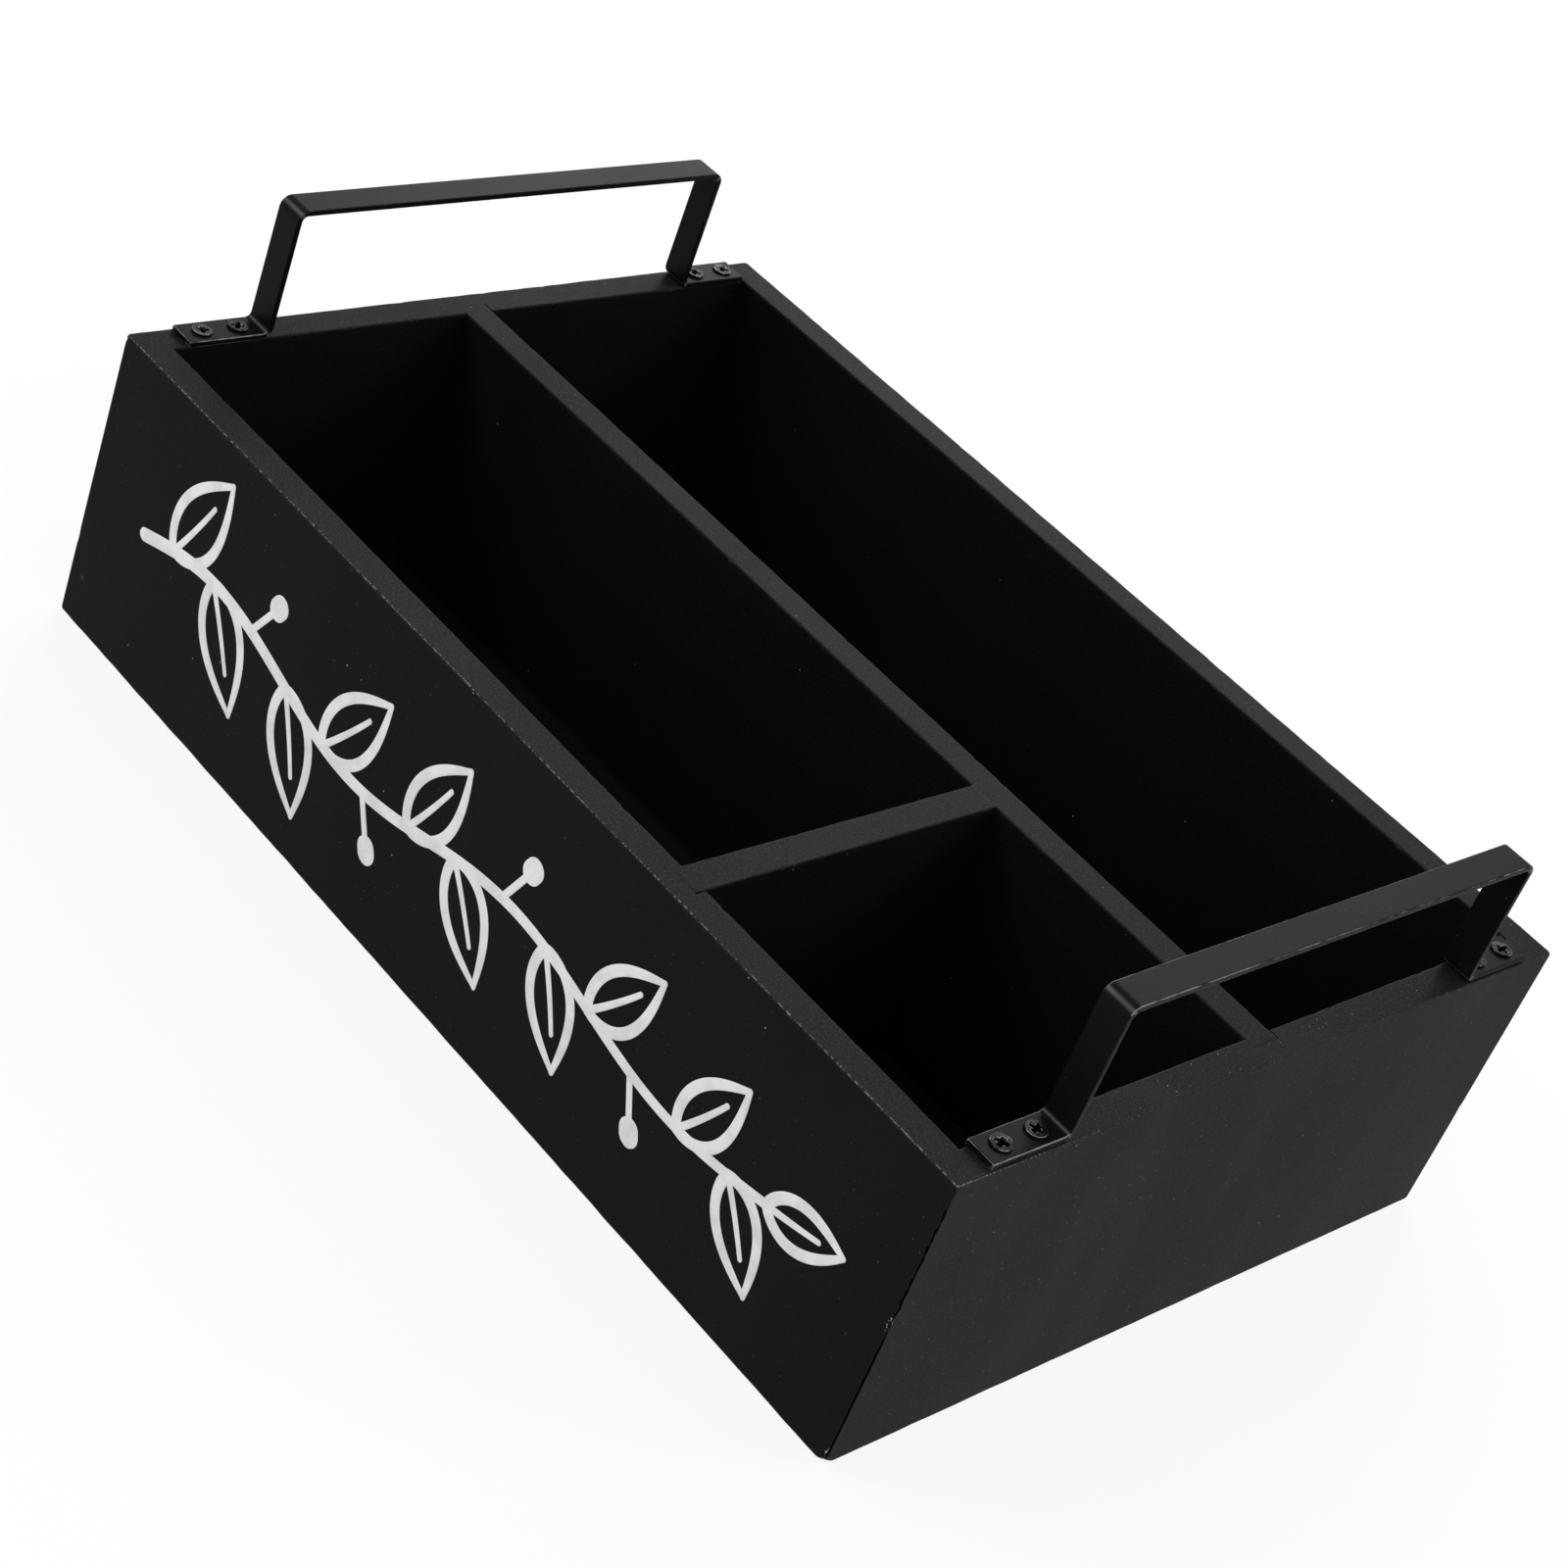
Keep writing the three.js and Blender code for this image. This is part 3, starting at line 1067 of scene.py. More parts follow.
    def points(self) -> tuple[np.ndarray, dict[str, np.ndarray]]:
        """Surface of the board.

        The section is carried along the board. Near each end the stations slant until they lie in the
        mitre plane, where the reach along the board falls by as much as the depth grows. On its outer
        side the mitre stands open by a hairline. Broad ripples bow the faces a little, and a shallow dish
        lies over each filled brad.

        Returns:
            Points in the box's frame as (stations, count, 3), and the marks for the paint.
        """
        along = self.stations()
        section, edge = self.outline(along)
        depth, height = section[..., 0], section[..., 1]
        along = along[:, None]
        for groove in self.grooves:
            depth = groove.press(along, depth, self.board, self.rabbet + self.knee)
        slant = np.clip((np.abs(along) - self.half + self.slant_reach) / self.slant_reach, 0, 1)
        seam = np.where(along > 0, self.seams[1], self.seams[0]) * self.gape(height)
        seam = seam * np.clip(1 - depth / self.seam_reach, 0, 1)
        seam = seam * np.clip(1 - self.half + np.abs(along), 0, 1)
        reach = along - np.sign(along) * (slant * depth + seam)
        still = 1 - slant
        depth = depth + self.bow * Ripple(self.seed + 30, 60).over(reach, height) * still
        lift = self.rim_bow * self.bow * Ripple(self.seed + 40, 45).over(reach, depth) * still
        height = height + lift * (height > 0.5 * self.height)
        if self.along_x:
            depth = depth + self.dished(along, height) * (depth < 0.5 * self.board)
        points = np.stack([reach, depth - self.distance, height], axis=-1)
        for _ in range(self.side.value):
            points = np.stack([-points[..., 1], points[..., 0], points[..., 2]], axis=-1)
        return points, self.marks(along, section[..., 0], height, edge)


@dataclass
class PlainBoard:
    """A straight board with square ends, carried along x or y: a divider or the bottom.

    A pair of values is for its two ends, the one at the lower coordinate first. Between the two places
    in met another board meets its low side.
    """

    name: str
    node: str
    seed: int
    along_y: bool = False
    edge_radius: float = 0.35
    end_radius: float = 0.15
    grow: tuple[float, float] = (0.0, 0.0)
    housed: tuple[float, float] = (0.0, 0.0)
    met: tuple[float, float] = (0.0, 0.0)
    pitch: float = 1.3
    side_pitch: float = 2.2
    top_pitch: float = 0.9
    top_steps: int = 80
    breaks: float = 0.6
    least_break: float = 1.1
    bow: float = 0.03
    # Strength of the lighter edge tone, partly wear and partly a painted highlight.
    rub_and_highlight: float = 0.5
    dust: float = 0.5
    side_dust: float = 0.2
    grain: float = 1.0
    side_grain: float = 0.3

    def stations(self, start: float, stop: float) -> tuple[np.ndarray, np.ndarray]:
        """Places along the board: an even pitch between eased ends, and both sides of each change.

        Args:
            start: Where the board starts.
            stop: Where it stops.

        Returns:
            Rising places, and how far the section is drawn in at each.
        """
        even = np.linspace(start + 1, stop - 1, round((stop - start) / self.pitch))
        steps = [start + self.housed[0], stop - self.housed[1], *self.met]
        inner = [step for step in steps if start + 1 < step < stop - 1]
        changes = [step + side for step in inner for side in (-0.05, 0.05)]
        even = np.unique(np.concatenate([even, changes]))
        lead, draw_in = eased_end(self.end_radius)
        along = np.concatenate([start + lead, even, stop - lead[::-1]])
        return along, np.concatenate([draw_in, 0 * even, draw_in[::-1]])

    def radii(self, along: np.ndarray) -> np.ndarray:
        """Radius of each corner along the board: uneven, with small breaks on the upper edges.

        Edges stay square where an end is housed, and the upper one on the low side where a board meets it.

        Args:
            along: Places along the board.

        Returns:
            Radii as (stations, 4).
        """
        square = (along < along[0] + self.housed[0]) | (along > along[-1] - self.housed[1])
        joined = (along > self.met[0]) & (along < self.met[1])
        rows = []
        for i, upper in enumerate((False, True, True, False)):
            uneven = eased_radius(along, self.edge_radius, self.seed + i)
            broken = self.breaks * edge_breaks(along, self.seed + 8 + i, self.least_break)
            rows.append(np.where(square | (joined & (i == 1)), SQUARE, uneven + broken * upper))
        return np.stack(rows, axis=1)

    def points(self) -> tuple[np.ndarray, dict[str, np.ndarray]]:
        """Surface of the board: a rounded oblong carried along it, drawn in over the last end_radius.

        Returns:
            Points as (stations, count, 3), and the marks "edge", "dust" and "grain".
        """
        low, high = node_box(self.node)
        if self.along_y:
            low, high = low[[1, 0, 2]], high[[1, 0, 2]]
        start, stop = low[0] - self.grow[0], high[0] + self.grow[1]
        middle, half = (low + high)[1:] / 2, (high - low)[1:] / 2
        along, draw_in = self.stations(start, stop)
        pitches = (self.side_pitch, max(self.top_pitch, 2 * half[0] / self.top_steps))
        section, edge = oblong(half, self.radii(along), pitches, draw_in)
        across = section[..., 0] + middle[0]
        height = section[..., 1] + middle[1]
        along = np.broadcast_to(along[:, None], across.shape)
        across = across + self.bow * Ripple(self.seed + 30, 70).over(along, height)
        points = np.stack([across, along, height] if self.along_y else [along, across, height], axis=-1)
        free = np.minimum(along - start - self.housed[0], stop - self.housed[1] - along) > 0
        rim = height > high[2] - RIM_BAND
        dust = self.dust * np.where(rim, 1.0, self.side_dust)
        grain = np.where(rim, self.grain, self.side_grain)
        return points, {"edge": edge * self.rub_and_highlight * free, "dust": dust, "grain": grain}

    def build(self, paint: bpy.types.Material) -> None:
        """Make and paint the board."""
        points, marks = self.points()
        build_tube(self.name, points, marks, paint, self.node)


@dataclass
class Carcass:
    """The box: four mitred walls and the bottom let into them."""

    corner_radius: float = 0.45
    corner_share: float = 0.92
    knocked_foot_wear: float = 3.4
    foot_wear: float = 1.2
    rim_wear: float = 1.2
    wear_share: float = 0.3
    slit: float = 0.4
    open_seam: float = 0.38
    shut_seam: float = 0.05
    nick_raggedness: float = 0.35
    nick_share: float = 0.46
    bare_push: float = 0.1
    bare_band: float = 0.12
    nicks: Sequence[Nick] = (
        Nick(1, -1, 41.0, 6.0, 0.60, 1.0, (0.55, 1.8)),
        Nick(1, -1, 51.0, 7.0, 0.45, 0.2, (0.7, 1.4)),
        Nick(1, -1, 60.5, 9.0, 0.50, 0.2, (0.7, 1.4)),
        Nick(1, -1, 70.0, 6.0, 0.40, 0.2, (0.7, 1.4)),
        Nick(1, -1, 3.0, 5.0, 0.55, 1.0, (0.6, 1.7)),
        Nick(1, -1, 79.0, 3.0, 0.50, 0.7),
        Nick(-1, -1, 79.0, 3.0, 0.50, 0.7),
        Nick(-1, -1, 22.0, 6.0, 0.45, 0.4),
        Nick(1, 1, 30.0, 8.0, 0.50, 0.4),
        Nick(-1, 1, 55.0, 6.0, 0.45, 0.3),
    )

    def walls(self) -> list[WallBoard]:
        """The four walls, with a groove where each divider stands in them.

        Returns:
            Front, back, left and right wall.
        """
        low, high = node_box("long_divider")
        right_slit = Groove(low[1], high[1] + self.slit)
        left_slit = Groove(-high[1] - self.slit, -low[1])
        low, high = node_box("cross_divider")
        front_slit = Groove(low[0], high[0] + self.slit)
        shut, gaping = self.shut_seam, self.open_seam
        return [
            WallBoard(
                "front_board",
                "front_panel",
                Side.FRONT,
                100,
                [front_slit],
                (shut, gaping),
                dust=0.25,
                grain=0.1,
                rub_and_highlight=0.685,
                corner_rub_and_highlight=(0.02, 0.06),
                fleck=(5.2, 13.0),
            ),
            WallBoard("back_board", "back_panel", Side.BACK, 200, [], (shut, shut), dust=0.5, grain=0.4),
            WallBoard(
                "left_end_board",
                "left_end_panel",
                Side.LEFT,
                300,
                [left_slit],
                (shut, shut),
                dust=0.6,
                grain=0.4,
            ),
            WallBoard(
                "right_end_board",
                "right_end_panel",
                Side.RIGHT,
                400,
                [right_slit],
                (gaping, shut),
                dust=1.4,
                grain=0.6,
                rub_and_highlight=0.56,
                corner_rub_and_highlight=(0.22, 0.06),
            ),
        ]

    def worn(self, points: np.ndarray, half_box: np.ndarray, top: float) -> tuple[np.ndarray, np.ndarray]:
        """Points with the upright corners eased, knocked and worn off at their ends.

        In plan a point nearer to a corner than the radius goes most of the way to the arc about the
        corner's centre. A nick moves points diagonally in, most in its middle. At the foot and the rim a
        point whose three distances from the corner add up to less than the wear moves in along all three,
        by the square of what is missing. The front right foot is knocked, so its wear is greater.

        Args:
            points: Points of a wall as (stations, count, 3).
            half_box: Half the length and depth of the box.
            top: Height of the box.

        Returns:
            The moved points, and how bare of paint each is from 0 to 1.
        """
        side = np.sign(points[..., :2])
        gap = half_box - np.abs(points[..., :2])
        arm = np.clip(self.corner_radius - gap, 0, None)
        over = np.linalg.norm(arm, axis=-1, keepdims=True)
        share = np.where(over > self.corner_radius, 1 - self.corner_radius / np.maximum(over, 1e-6), 0)
        gap = gap + self.corner_share * share * arm
        height = points[..., 2]
        bare = np.zeros_like(height)
        for nick in self.nicks:
            here = (side[..., 0] == nick.x_side) & (side[..., 1] == nick.y_side)
            off = (height - nick.height) / (nick.length / 2)
            ripple = Ripple(int(nick.height * 10), 1.6).over(height, gap[..., 0] * 2)
            ragged = 1 + self.nick_raggedness * ripple
            bite = here * nick.depth * np.clip(1 - off**2, 0, None) * ragged
            push = np.clip(bite - gap @ np.array(nick.weights), 0, None)
            gap = gap + self.nick_share * push[..., None]
            at_edge = np.clip(1 - np.abs(push - self.bare_push) / self.bare_band, 0, 1)
            bare = np.maximum(bare, nick.bare * at_edge)
        knocked = (side[..., 0] > 0) & (side[..., 1] < 0)
        foot_wear = np.where(knocked, self.knocked_foot_wear, self.foot_wear)
        for wear, level, way in ((foot_wear, height, 1), (self.rim_wear, top - height, -1)):
            push = np.clip(wear - gap.sum(axis=-1) - level, 0, None) ** 2 / wear
            gap = gap + self.wear_share * push[..., None]
            height = height + self.wear_share * way * push
        return np.concatenate([side * (half_box - gap), height[..., None]], axis=-1), bare

    def build(self, paint: bpy.types.Material) -> None:
        """Make and paint the walls and the bottom.

        Args:
            paint: Finish of the boards.
        """
        for wall in self.walls():
            points, marks = wall.points()
            points, marks["bare"] = self.worn(points, wall.half_box, wall.height)
            build_tube(wall.name, points, marks, paint, wall.node)
        bottom = PlainBoard(
            "bottom_board",
            "bottom_panel",
            500,
            edge_radius=0.2,
            breaks=0,
            dust=0.3,
            grain=0.3,
        )
        bottom.build(paint)


@dataclass
class Dividers:
    """The long divider and the cross divider, with their ends in the walls' grooves."""

    overlap: float = 0.05

    def build(self, paint: bpy.types.Material) -> None:
        """Make and paint both dividers, long enough for paint to close the joints at the rim.

        Args:
            paint: Finish of the boards.
        """
        long_low, long_high = node_box("long_divider")
        cross_low, cross_high = node_box("cross_divider")
        groove = Groove.depth
        fill = float(node_box("right_end_panel")[0][0] + groove - long_high[0])
        butt = float(long_low[1] - cross_high[1]) + self.overlap
        long_board = PlainBoard(
            "long_divider_board",
            "long_divider",
            600,
            end_radius=SQUARE,
            grow=(fill, fill),
            housed=(groove, groove),
            met=(float(cross_low[0]), float(cross_high[0])),
        )
        cross_board = PlainBoard(
            "cross_divider_board",
            "cross_divider",
            700,
            along_y=True,
            end_radius=SQUARE,
            grow=(fill, butt),
            housed=(groove, self.overlap),
        )
        for board in (long_board, cross_board):
            board.build(paint)


@dataclass
class StripHandle:
    """A handle bent from one flat strip, with eased edges and square feet."""

    name: str
    node: str
    # Strength of the lighter edge tone on the bar, partly wear and partly a painted highlight, all along
    # and extra at the front end.
    bar_rub_and_highlight: float
    front_rub_and_highlight: float
    span: float = 136.0
    front_foot: float = 22.0
    thickness: float = 1.5
    bend_radius: float = 1.5
    edge_radius: float = 0.28
    end_radius: float = 0.25
    bend_steps: int = 24
    bend_focus: int = 18
    bar_band: float = 1.4
    upright_rub_and_highlight: float = 0.66
    rub_reach: float = 60.0
    front_foot_rub_and_highlight: float = 1.1
    back_foot_rub_and_highlight: float = 0.55
    side_pitch: float = 0.4
    foot_pitch: float = 0.5
    arch_pitch: float = 3.0
    sink_radius: float = 2.3
    sink_depth: float = 1.35

    def path(self) -> tuple[np.ndarray, np.ndarray]:
        """Middle line of the strip in y and z: straight stretches joined by arcs.

        Returns:
            Points as (stations, 2), and the heading at each.
        """
        low, high = node_box(self.node)
        middle = low[1] + self.front_foot + self.span / 2
        foot, bar = low[2] + self.thickness / 2, high[2] - self.thickness / 2
        upright = (self.span - self.thickness) / 2
        corners = np.array(
            [
                (low[1], foot),
                (middle - upright, foot),
                (middle - upright, bar),
                (middle + upright, bar),
                (middle + upright, foot),
                (high[1], foot),
            ]
        )
        headings = np.array([0, 1, 0, -1, 0]) * QUARTER_TURN
        radius = self.bend_radius + self.thickness / 2
        points, turns = [], []
        start = corners[0]
        for i, heading in enumerate(headings):
            ahead = np.array([math.cos(heading), math.sin(heading)])
            stop = corners[i + 1] - ahead * (radius if i < len(headings) - 1 else 0)
            pitch = self.foot_pitch if i in (0, len(headings) - 1) else self.arch_pitch
            shares = np.concatenate([[0], ticks(np.linalg.norm(stop - start), pitch), [1]])
            points.append(start + (stop - start) * shares[:, None])
            turns.append(np.full(len(points[-1]), heading))
            if i == len(headings) - 1:
                break
            bend = headings[i + 1] - heading
            turn = heading + bend * np.linspace(0, 1, self.bend_steps + 1)[1:-1]
            sign = math.copysign(1, bend)
            left = np.stack([-np.sin(turn), np.cos(turn)], axis=-1)
            centre = stop + sign * radius * np.array([-ahead[1], ahead[0]])
            points.append(centre - sign * radius * left)
            turns.append(turn)
            following = np.array([math.cos(headings[i + 1]), math.sin(headings[i + 1])])
            start = corners[i + 1] + following * radius
        return np.concatenate(points), np.concatenate(turns)

    def sunk(self, points: np.ndarray) -> np.ndarray:
        """Depth of the countersinks under the four screws: a cone of 45 degrees with a flat floor.

        Args:
            points: Points of the strip as (stations, count, 3).

        Returns:
            Depth at each point, as (stations, count).
        """
        side = self.node.split("_")[0]
        depth = np.zeros(points.shape[:2])
        for place in itertools.product(("front", "back"), ("outer", "inner")):
            low, high = node_box("_".join(("screw", side, *place)))
            far = np.linalg.norm(points[..., :2] - (low + high)[:2] / 2, axis=-1)
            depth = np.maximum(depth, np.clip(self.sink_radius - far, 0, self.sink_depth))
        return depth

    def marks(self, line: np.ndarray, heading: np.ndarray, edge: np.ndarray) -> dict[str, np.ndarray]:
        """Values for the coat.

        Args:
            line: Middle line of the strip, (stations, 2).
            heading: Heading at each station.
            edge: How near to an edge each point of the section is.

        Returns:
            "edge", how far a point lies on a worn edge with a painted highlight, and "bend", how far the
            coat is stretched and painted with a highlight there: the sine of twice the heading to a high
            power, so that it gathers in the middle of a bend.
        """
        low, high = node_box(self.node)
        turn = np.linspace(0, QUARTER_TURN, 4)
        middle = np.zeros(len(line) - 2 * len(turn))
        # A painted highlight along the rounded ends of the strip.
        end = np.concatenate([np.sin(2 * turn), middle, np.sin(2 * turn)])[:, None]
        # Gathered to the middle of each bend, where the painted highlight lies.
        stretched = np.abs(np.sin(2 * heading))[:, None] ** self.bend_focus
        # Edge strengths on the bar, uprights and feet: partly wear, partly a painted highlight, stronger
        # towards the front.
        from_front = line[:, :1] - low[1] - self.front_foot
        at_bar = line[:, 1:] > high[2] - self.bar_band * self.bend_radius
        on_bar = self.bar_rub_and_highlight + self.front_rub_and_highlight * np.exp(-from_front / self.rub_reach)
        on_foot = np.where(from_front < 0.5 * self.span, self.front_foot_rub_and_highlight, self.back_foot_rub_and_highlight)
        above = np.where(at_bar, on_bar, self.upright_rub_and_highlight)
        rub_and_highlight = np.where(line[:, 1:] < low[2] + self.thickness, on_foot, above)
        bend = np.broadcast_to(stretched, (len(line), len(edge)))
        return {"edge": np.maximum(edge * rub_and_highlight, end * on_foot), "bend": bend}

    def build(self, coat: bpy.types.Material) -> None:
        """Make and coat the strip: a rounded oblong carried along its path, eased at both ends.

        Args:
            coat: Finish of the strip.
        """
        low, high = node_box(self.node)
        half = np.array([(high[0] - low[0]) / 2, self.thickness / 2])
        line, heading = self.path()
        lead, draw_in = eased_end(self.end_radius)
        step = np.stack([lead, 0 * lead], axis=-1)
        inside = slice(2, -2)
        line = np.concatenate([line[0] + step, line[inside], line[-1] - step[::-1]])
        heading = np.concatenate([0 * lead, heading[inside], 0 * lead])
        draw = np.concatenate([draw_in, np.zeros(len(line) - 2 * len(lead)), draw_in[::-1]])
        radii = np.full((len(line), 4), self.edge_radius)
        section, edge = oblong(half, radii, (self.side_pitch, self.foot_pitch), draw)
        left = np.stack([-np.sin(heading), np.cos(heading)], axis=-1)
        spot = line[:, None, :] + section[..., 1:] * left[:, None, :]
        points = np.concatenate([section[..., :1] + (low[0] + high[0]) / 2, spot], axis=-1)
        foot = (line[:, 1] < low[2] + self.thickness)[:, None]
        points[..., 2] -= self.sunk(points) * foot * (section[..., 1] > 0)
        build_tube(self.name, points, self.marks(line, heading, edge), coat, self.node)


@dataclass
class WoodScrew:
    """A countersunk cross-recess wood screw standing a little proud of the strip."""

    node: str
    turn: float
    lean: tuple[float, float]
    head_radius: float = 2.5
    crown: float = 0.05
    rim: float = 0.3
    rim_rub_and_glint: float = 0.4
    shank_radius: float = 1.25
    core_radius: float = 0.85
    cone: float = 1.25
    plain_shank: float = 3.0
    pitch: float = 1.1
    thread_sharpness: float = 2.5
    run_out: float = 0.8
    tip: float = 3.0
    tip_fullness: float = 0.8
    arm_length: float = 1.7
    arm_half_width: float = 0.58
    pit_radius: float = 0.95
    wall_slope: float = 0.12
    end_slope: float = 0.2
    recess_depth: float = 1.9
    floor_level: float = 1.05
    floor_slope: float = 0.6
    lip_width: float = 0.11
    first_row: float = 0.06
    rim_inset: float = 0.12
    rim_drops: tuple[float, float] = (0.015, 0.08)
    rim_round: float = 0.05
    cone_start: float = 0.15
    shank_start: float = 0.3
    point_gap: float = 0.15
    columns: int = 144
    head_rows: int = 48
    cone_rows: int = 7
    shank_rows: int = 72
    crease: float = 32

    def cut(self, across: np.ndarray, along: np.ndarray, grow: float = 0.0) -> np.ndarray:
        """Plan of the cross recess, 1 inside and 0 outside: two crossed arms and a round pit.

        Args:
            across: First coordinate on the head.
            along: Second coordinate on the head.
            grow: How far its outline is moved out.

        Returns:
            The mask, which falls off over the slope of the walls.
        """
        arms = []
        for lengthwise, sideways in ((across, along), (along, across)):
            wall = np.clip((self.arm_half_width + grow - np.abs(sideways)) / self.wall_slope + 0.5, 0, 1)
            stop = np.clip((self.arm_length + grow - np.abs(lengthwise)) / self.end_slope, 0, 1)
            arms.append(wall * stop)
        pit = np.clip((self.pit_radius + grow - np.hypot(across, along)) / self.end_slope, 0, 1)
        return np.maximum(np.maximum(*arms), pit)

    def rows(self, *parts: np.ndarray) -> np.ndarray:
        """Parts of the profile joined to rows of all columns."""
        return np.concatenate([np.broadcast_to(part, (len(part), self.columns)) for part in parts])

    def points(self) -> tuple[np.ndarray, dict[str, np.ndarray]]:
        """Surface of the screw about its own axis, top at z = 0.

        Rows run from the middle of the head over its rim, down the cone and the shank to the point. On
        the head the height is minus the depth of the recess; on the thread the radius grows from the core
        as a ridge that climbs one pitch for each turn.

        Returns:
            Points as (rows * columns + 2, 3), and the marks "edge", how far each lies on a rubbed edge with
            painted glints, and
            "recess", its depth in the recess as a share of the whole, which the finish paints as shade.
        """
        around = np.linspace(0, 2 * np.pi, self.columns, endpoint=False)[None, :]
        top = np.linspace(self.first_row, self.head_radius - self.rim_inset, self.head_rows)[:, None]
        across, along = top * np.cos(around), top * np.sin(around)
        inside = self.cut(across, along)
        # A thin band round the recess, rubbed bright for painted glints.
        glint_lips = np.clip(self.cut(across, along, self.lip_width) - inside, 0, 1)
        floor = np.clip(self.floor_level - self.floor_slope * top / self.arm_length, 0, 1)
        pressed = self.recess_depth * floor * inside
        head_z = self.crown * (1 - (top / self.head_radius) ** 2) - pressed
        low, high = node_box(self.node)
        length = float(high[2] - low[2])
        rim = np.array([(-self.rim_round, -self.rim_drops[0]), (0, -self.rim_drops[1]), (0, -self.rim)])
        slope = np.linspace(self.cone_start, 1, self.cone_rows)[:, None]
        cone_radius = self.head_radius + (self.shank_radius - self.head_radius) * slope
        cone_z = -self.rim - self.cone * slope
        shank_top = -self.rim - self.cone
        first, last = shank_top - self.shank_start, -length + self.point_gap
        down = np.linspace(first, last, self.shank_rows)[:, None]
        climb = np.mod(down / self.pitch + around / (2 * np.pi), 1)
        ridge = np.abs(2 * climb - 1) ** self.thread_sharpness
        threaded = np.clip((shank_top - self.plain_shank - down) / self.run_out, 0, 1)
        body = self.shank_radius + (self.core_radius - self.shank_radius) * threaded * (1 - ridge)
        taper = np.clip((down + length) / self.tip, 0, 1) ** self.tip_fullness
        radius = self.rows(top, self.head_radius + rim[:, :1], cone_radius, body * taper)
        height = self.rows(head_z, rim[:, 1:], cone_z, down)
        grid = np.stack([radius * np.cos(around), radius * np.sin(around), height], axis=-1)
        rubbed, recess = np.zeros(grid.shape[:2]), np.zeros(grid.shape[:2])
        rubbed[: len(top)] = glint_lips
        rubbed[len(top) - 1 : len(top) + 2] = self.rim_rub_and_glint
        recess[: len(top)] = pressed / self.recess_depth
        pole, point = (0, 0, self.crown - self.recess_depth), (0, 0, -length)
        points = np.concatenate([[pole], grid.reshape(-1, 3), [point]])
        marks = {"edge": rubbed, "recess": recess}
        return points, {name: np.pad(values.ravel(), 1, mode="edge") for name, values in marks.items()}

    def build(self, steel: bpy.types.Material) -> None:
        """Make the screw, turn and lean it as it was driven, and set it in its place.

        Args:
            steel: Finish of the screw.
        """
        points, marks = self.points()
        rows = (len(points) - 2) // self.columns
        low, high = node_box(self.node)
        lean = Matrix.Rotation(self.lean[0], 3, "X") @ Matrix.Rotation(self.lean[1], 3, "Y")
        driven = np.array(lean @ Matrix.Rotation(self.turn, 3, "Z"))
        head = np.array([*((low + high) / 2)[:2], high[2]])
        placed = points @ driven.T + head
        name = self.node.replace("screw", "wood_screw")
        piece = new_piece(name, placed, turned_faces(rows, self.columns), marks, self.crease)
        settle(piece, steel, [self.node])


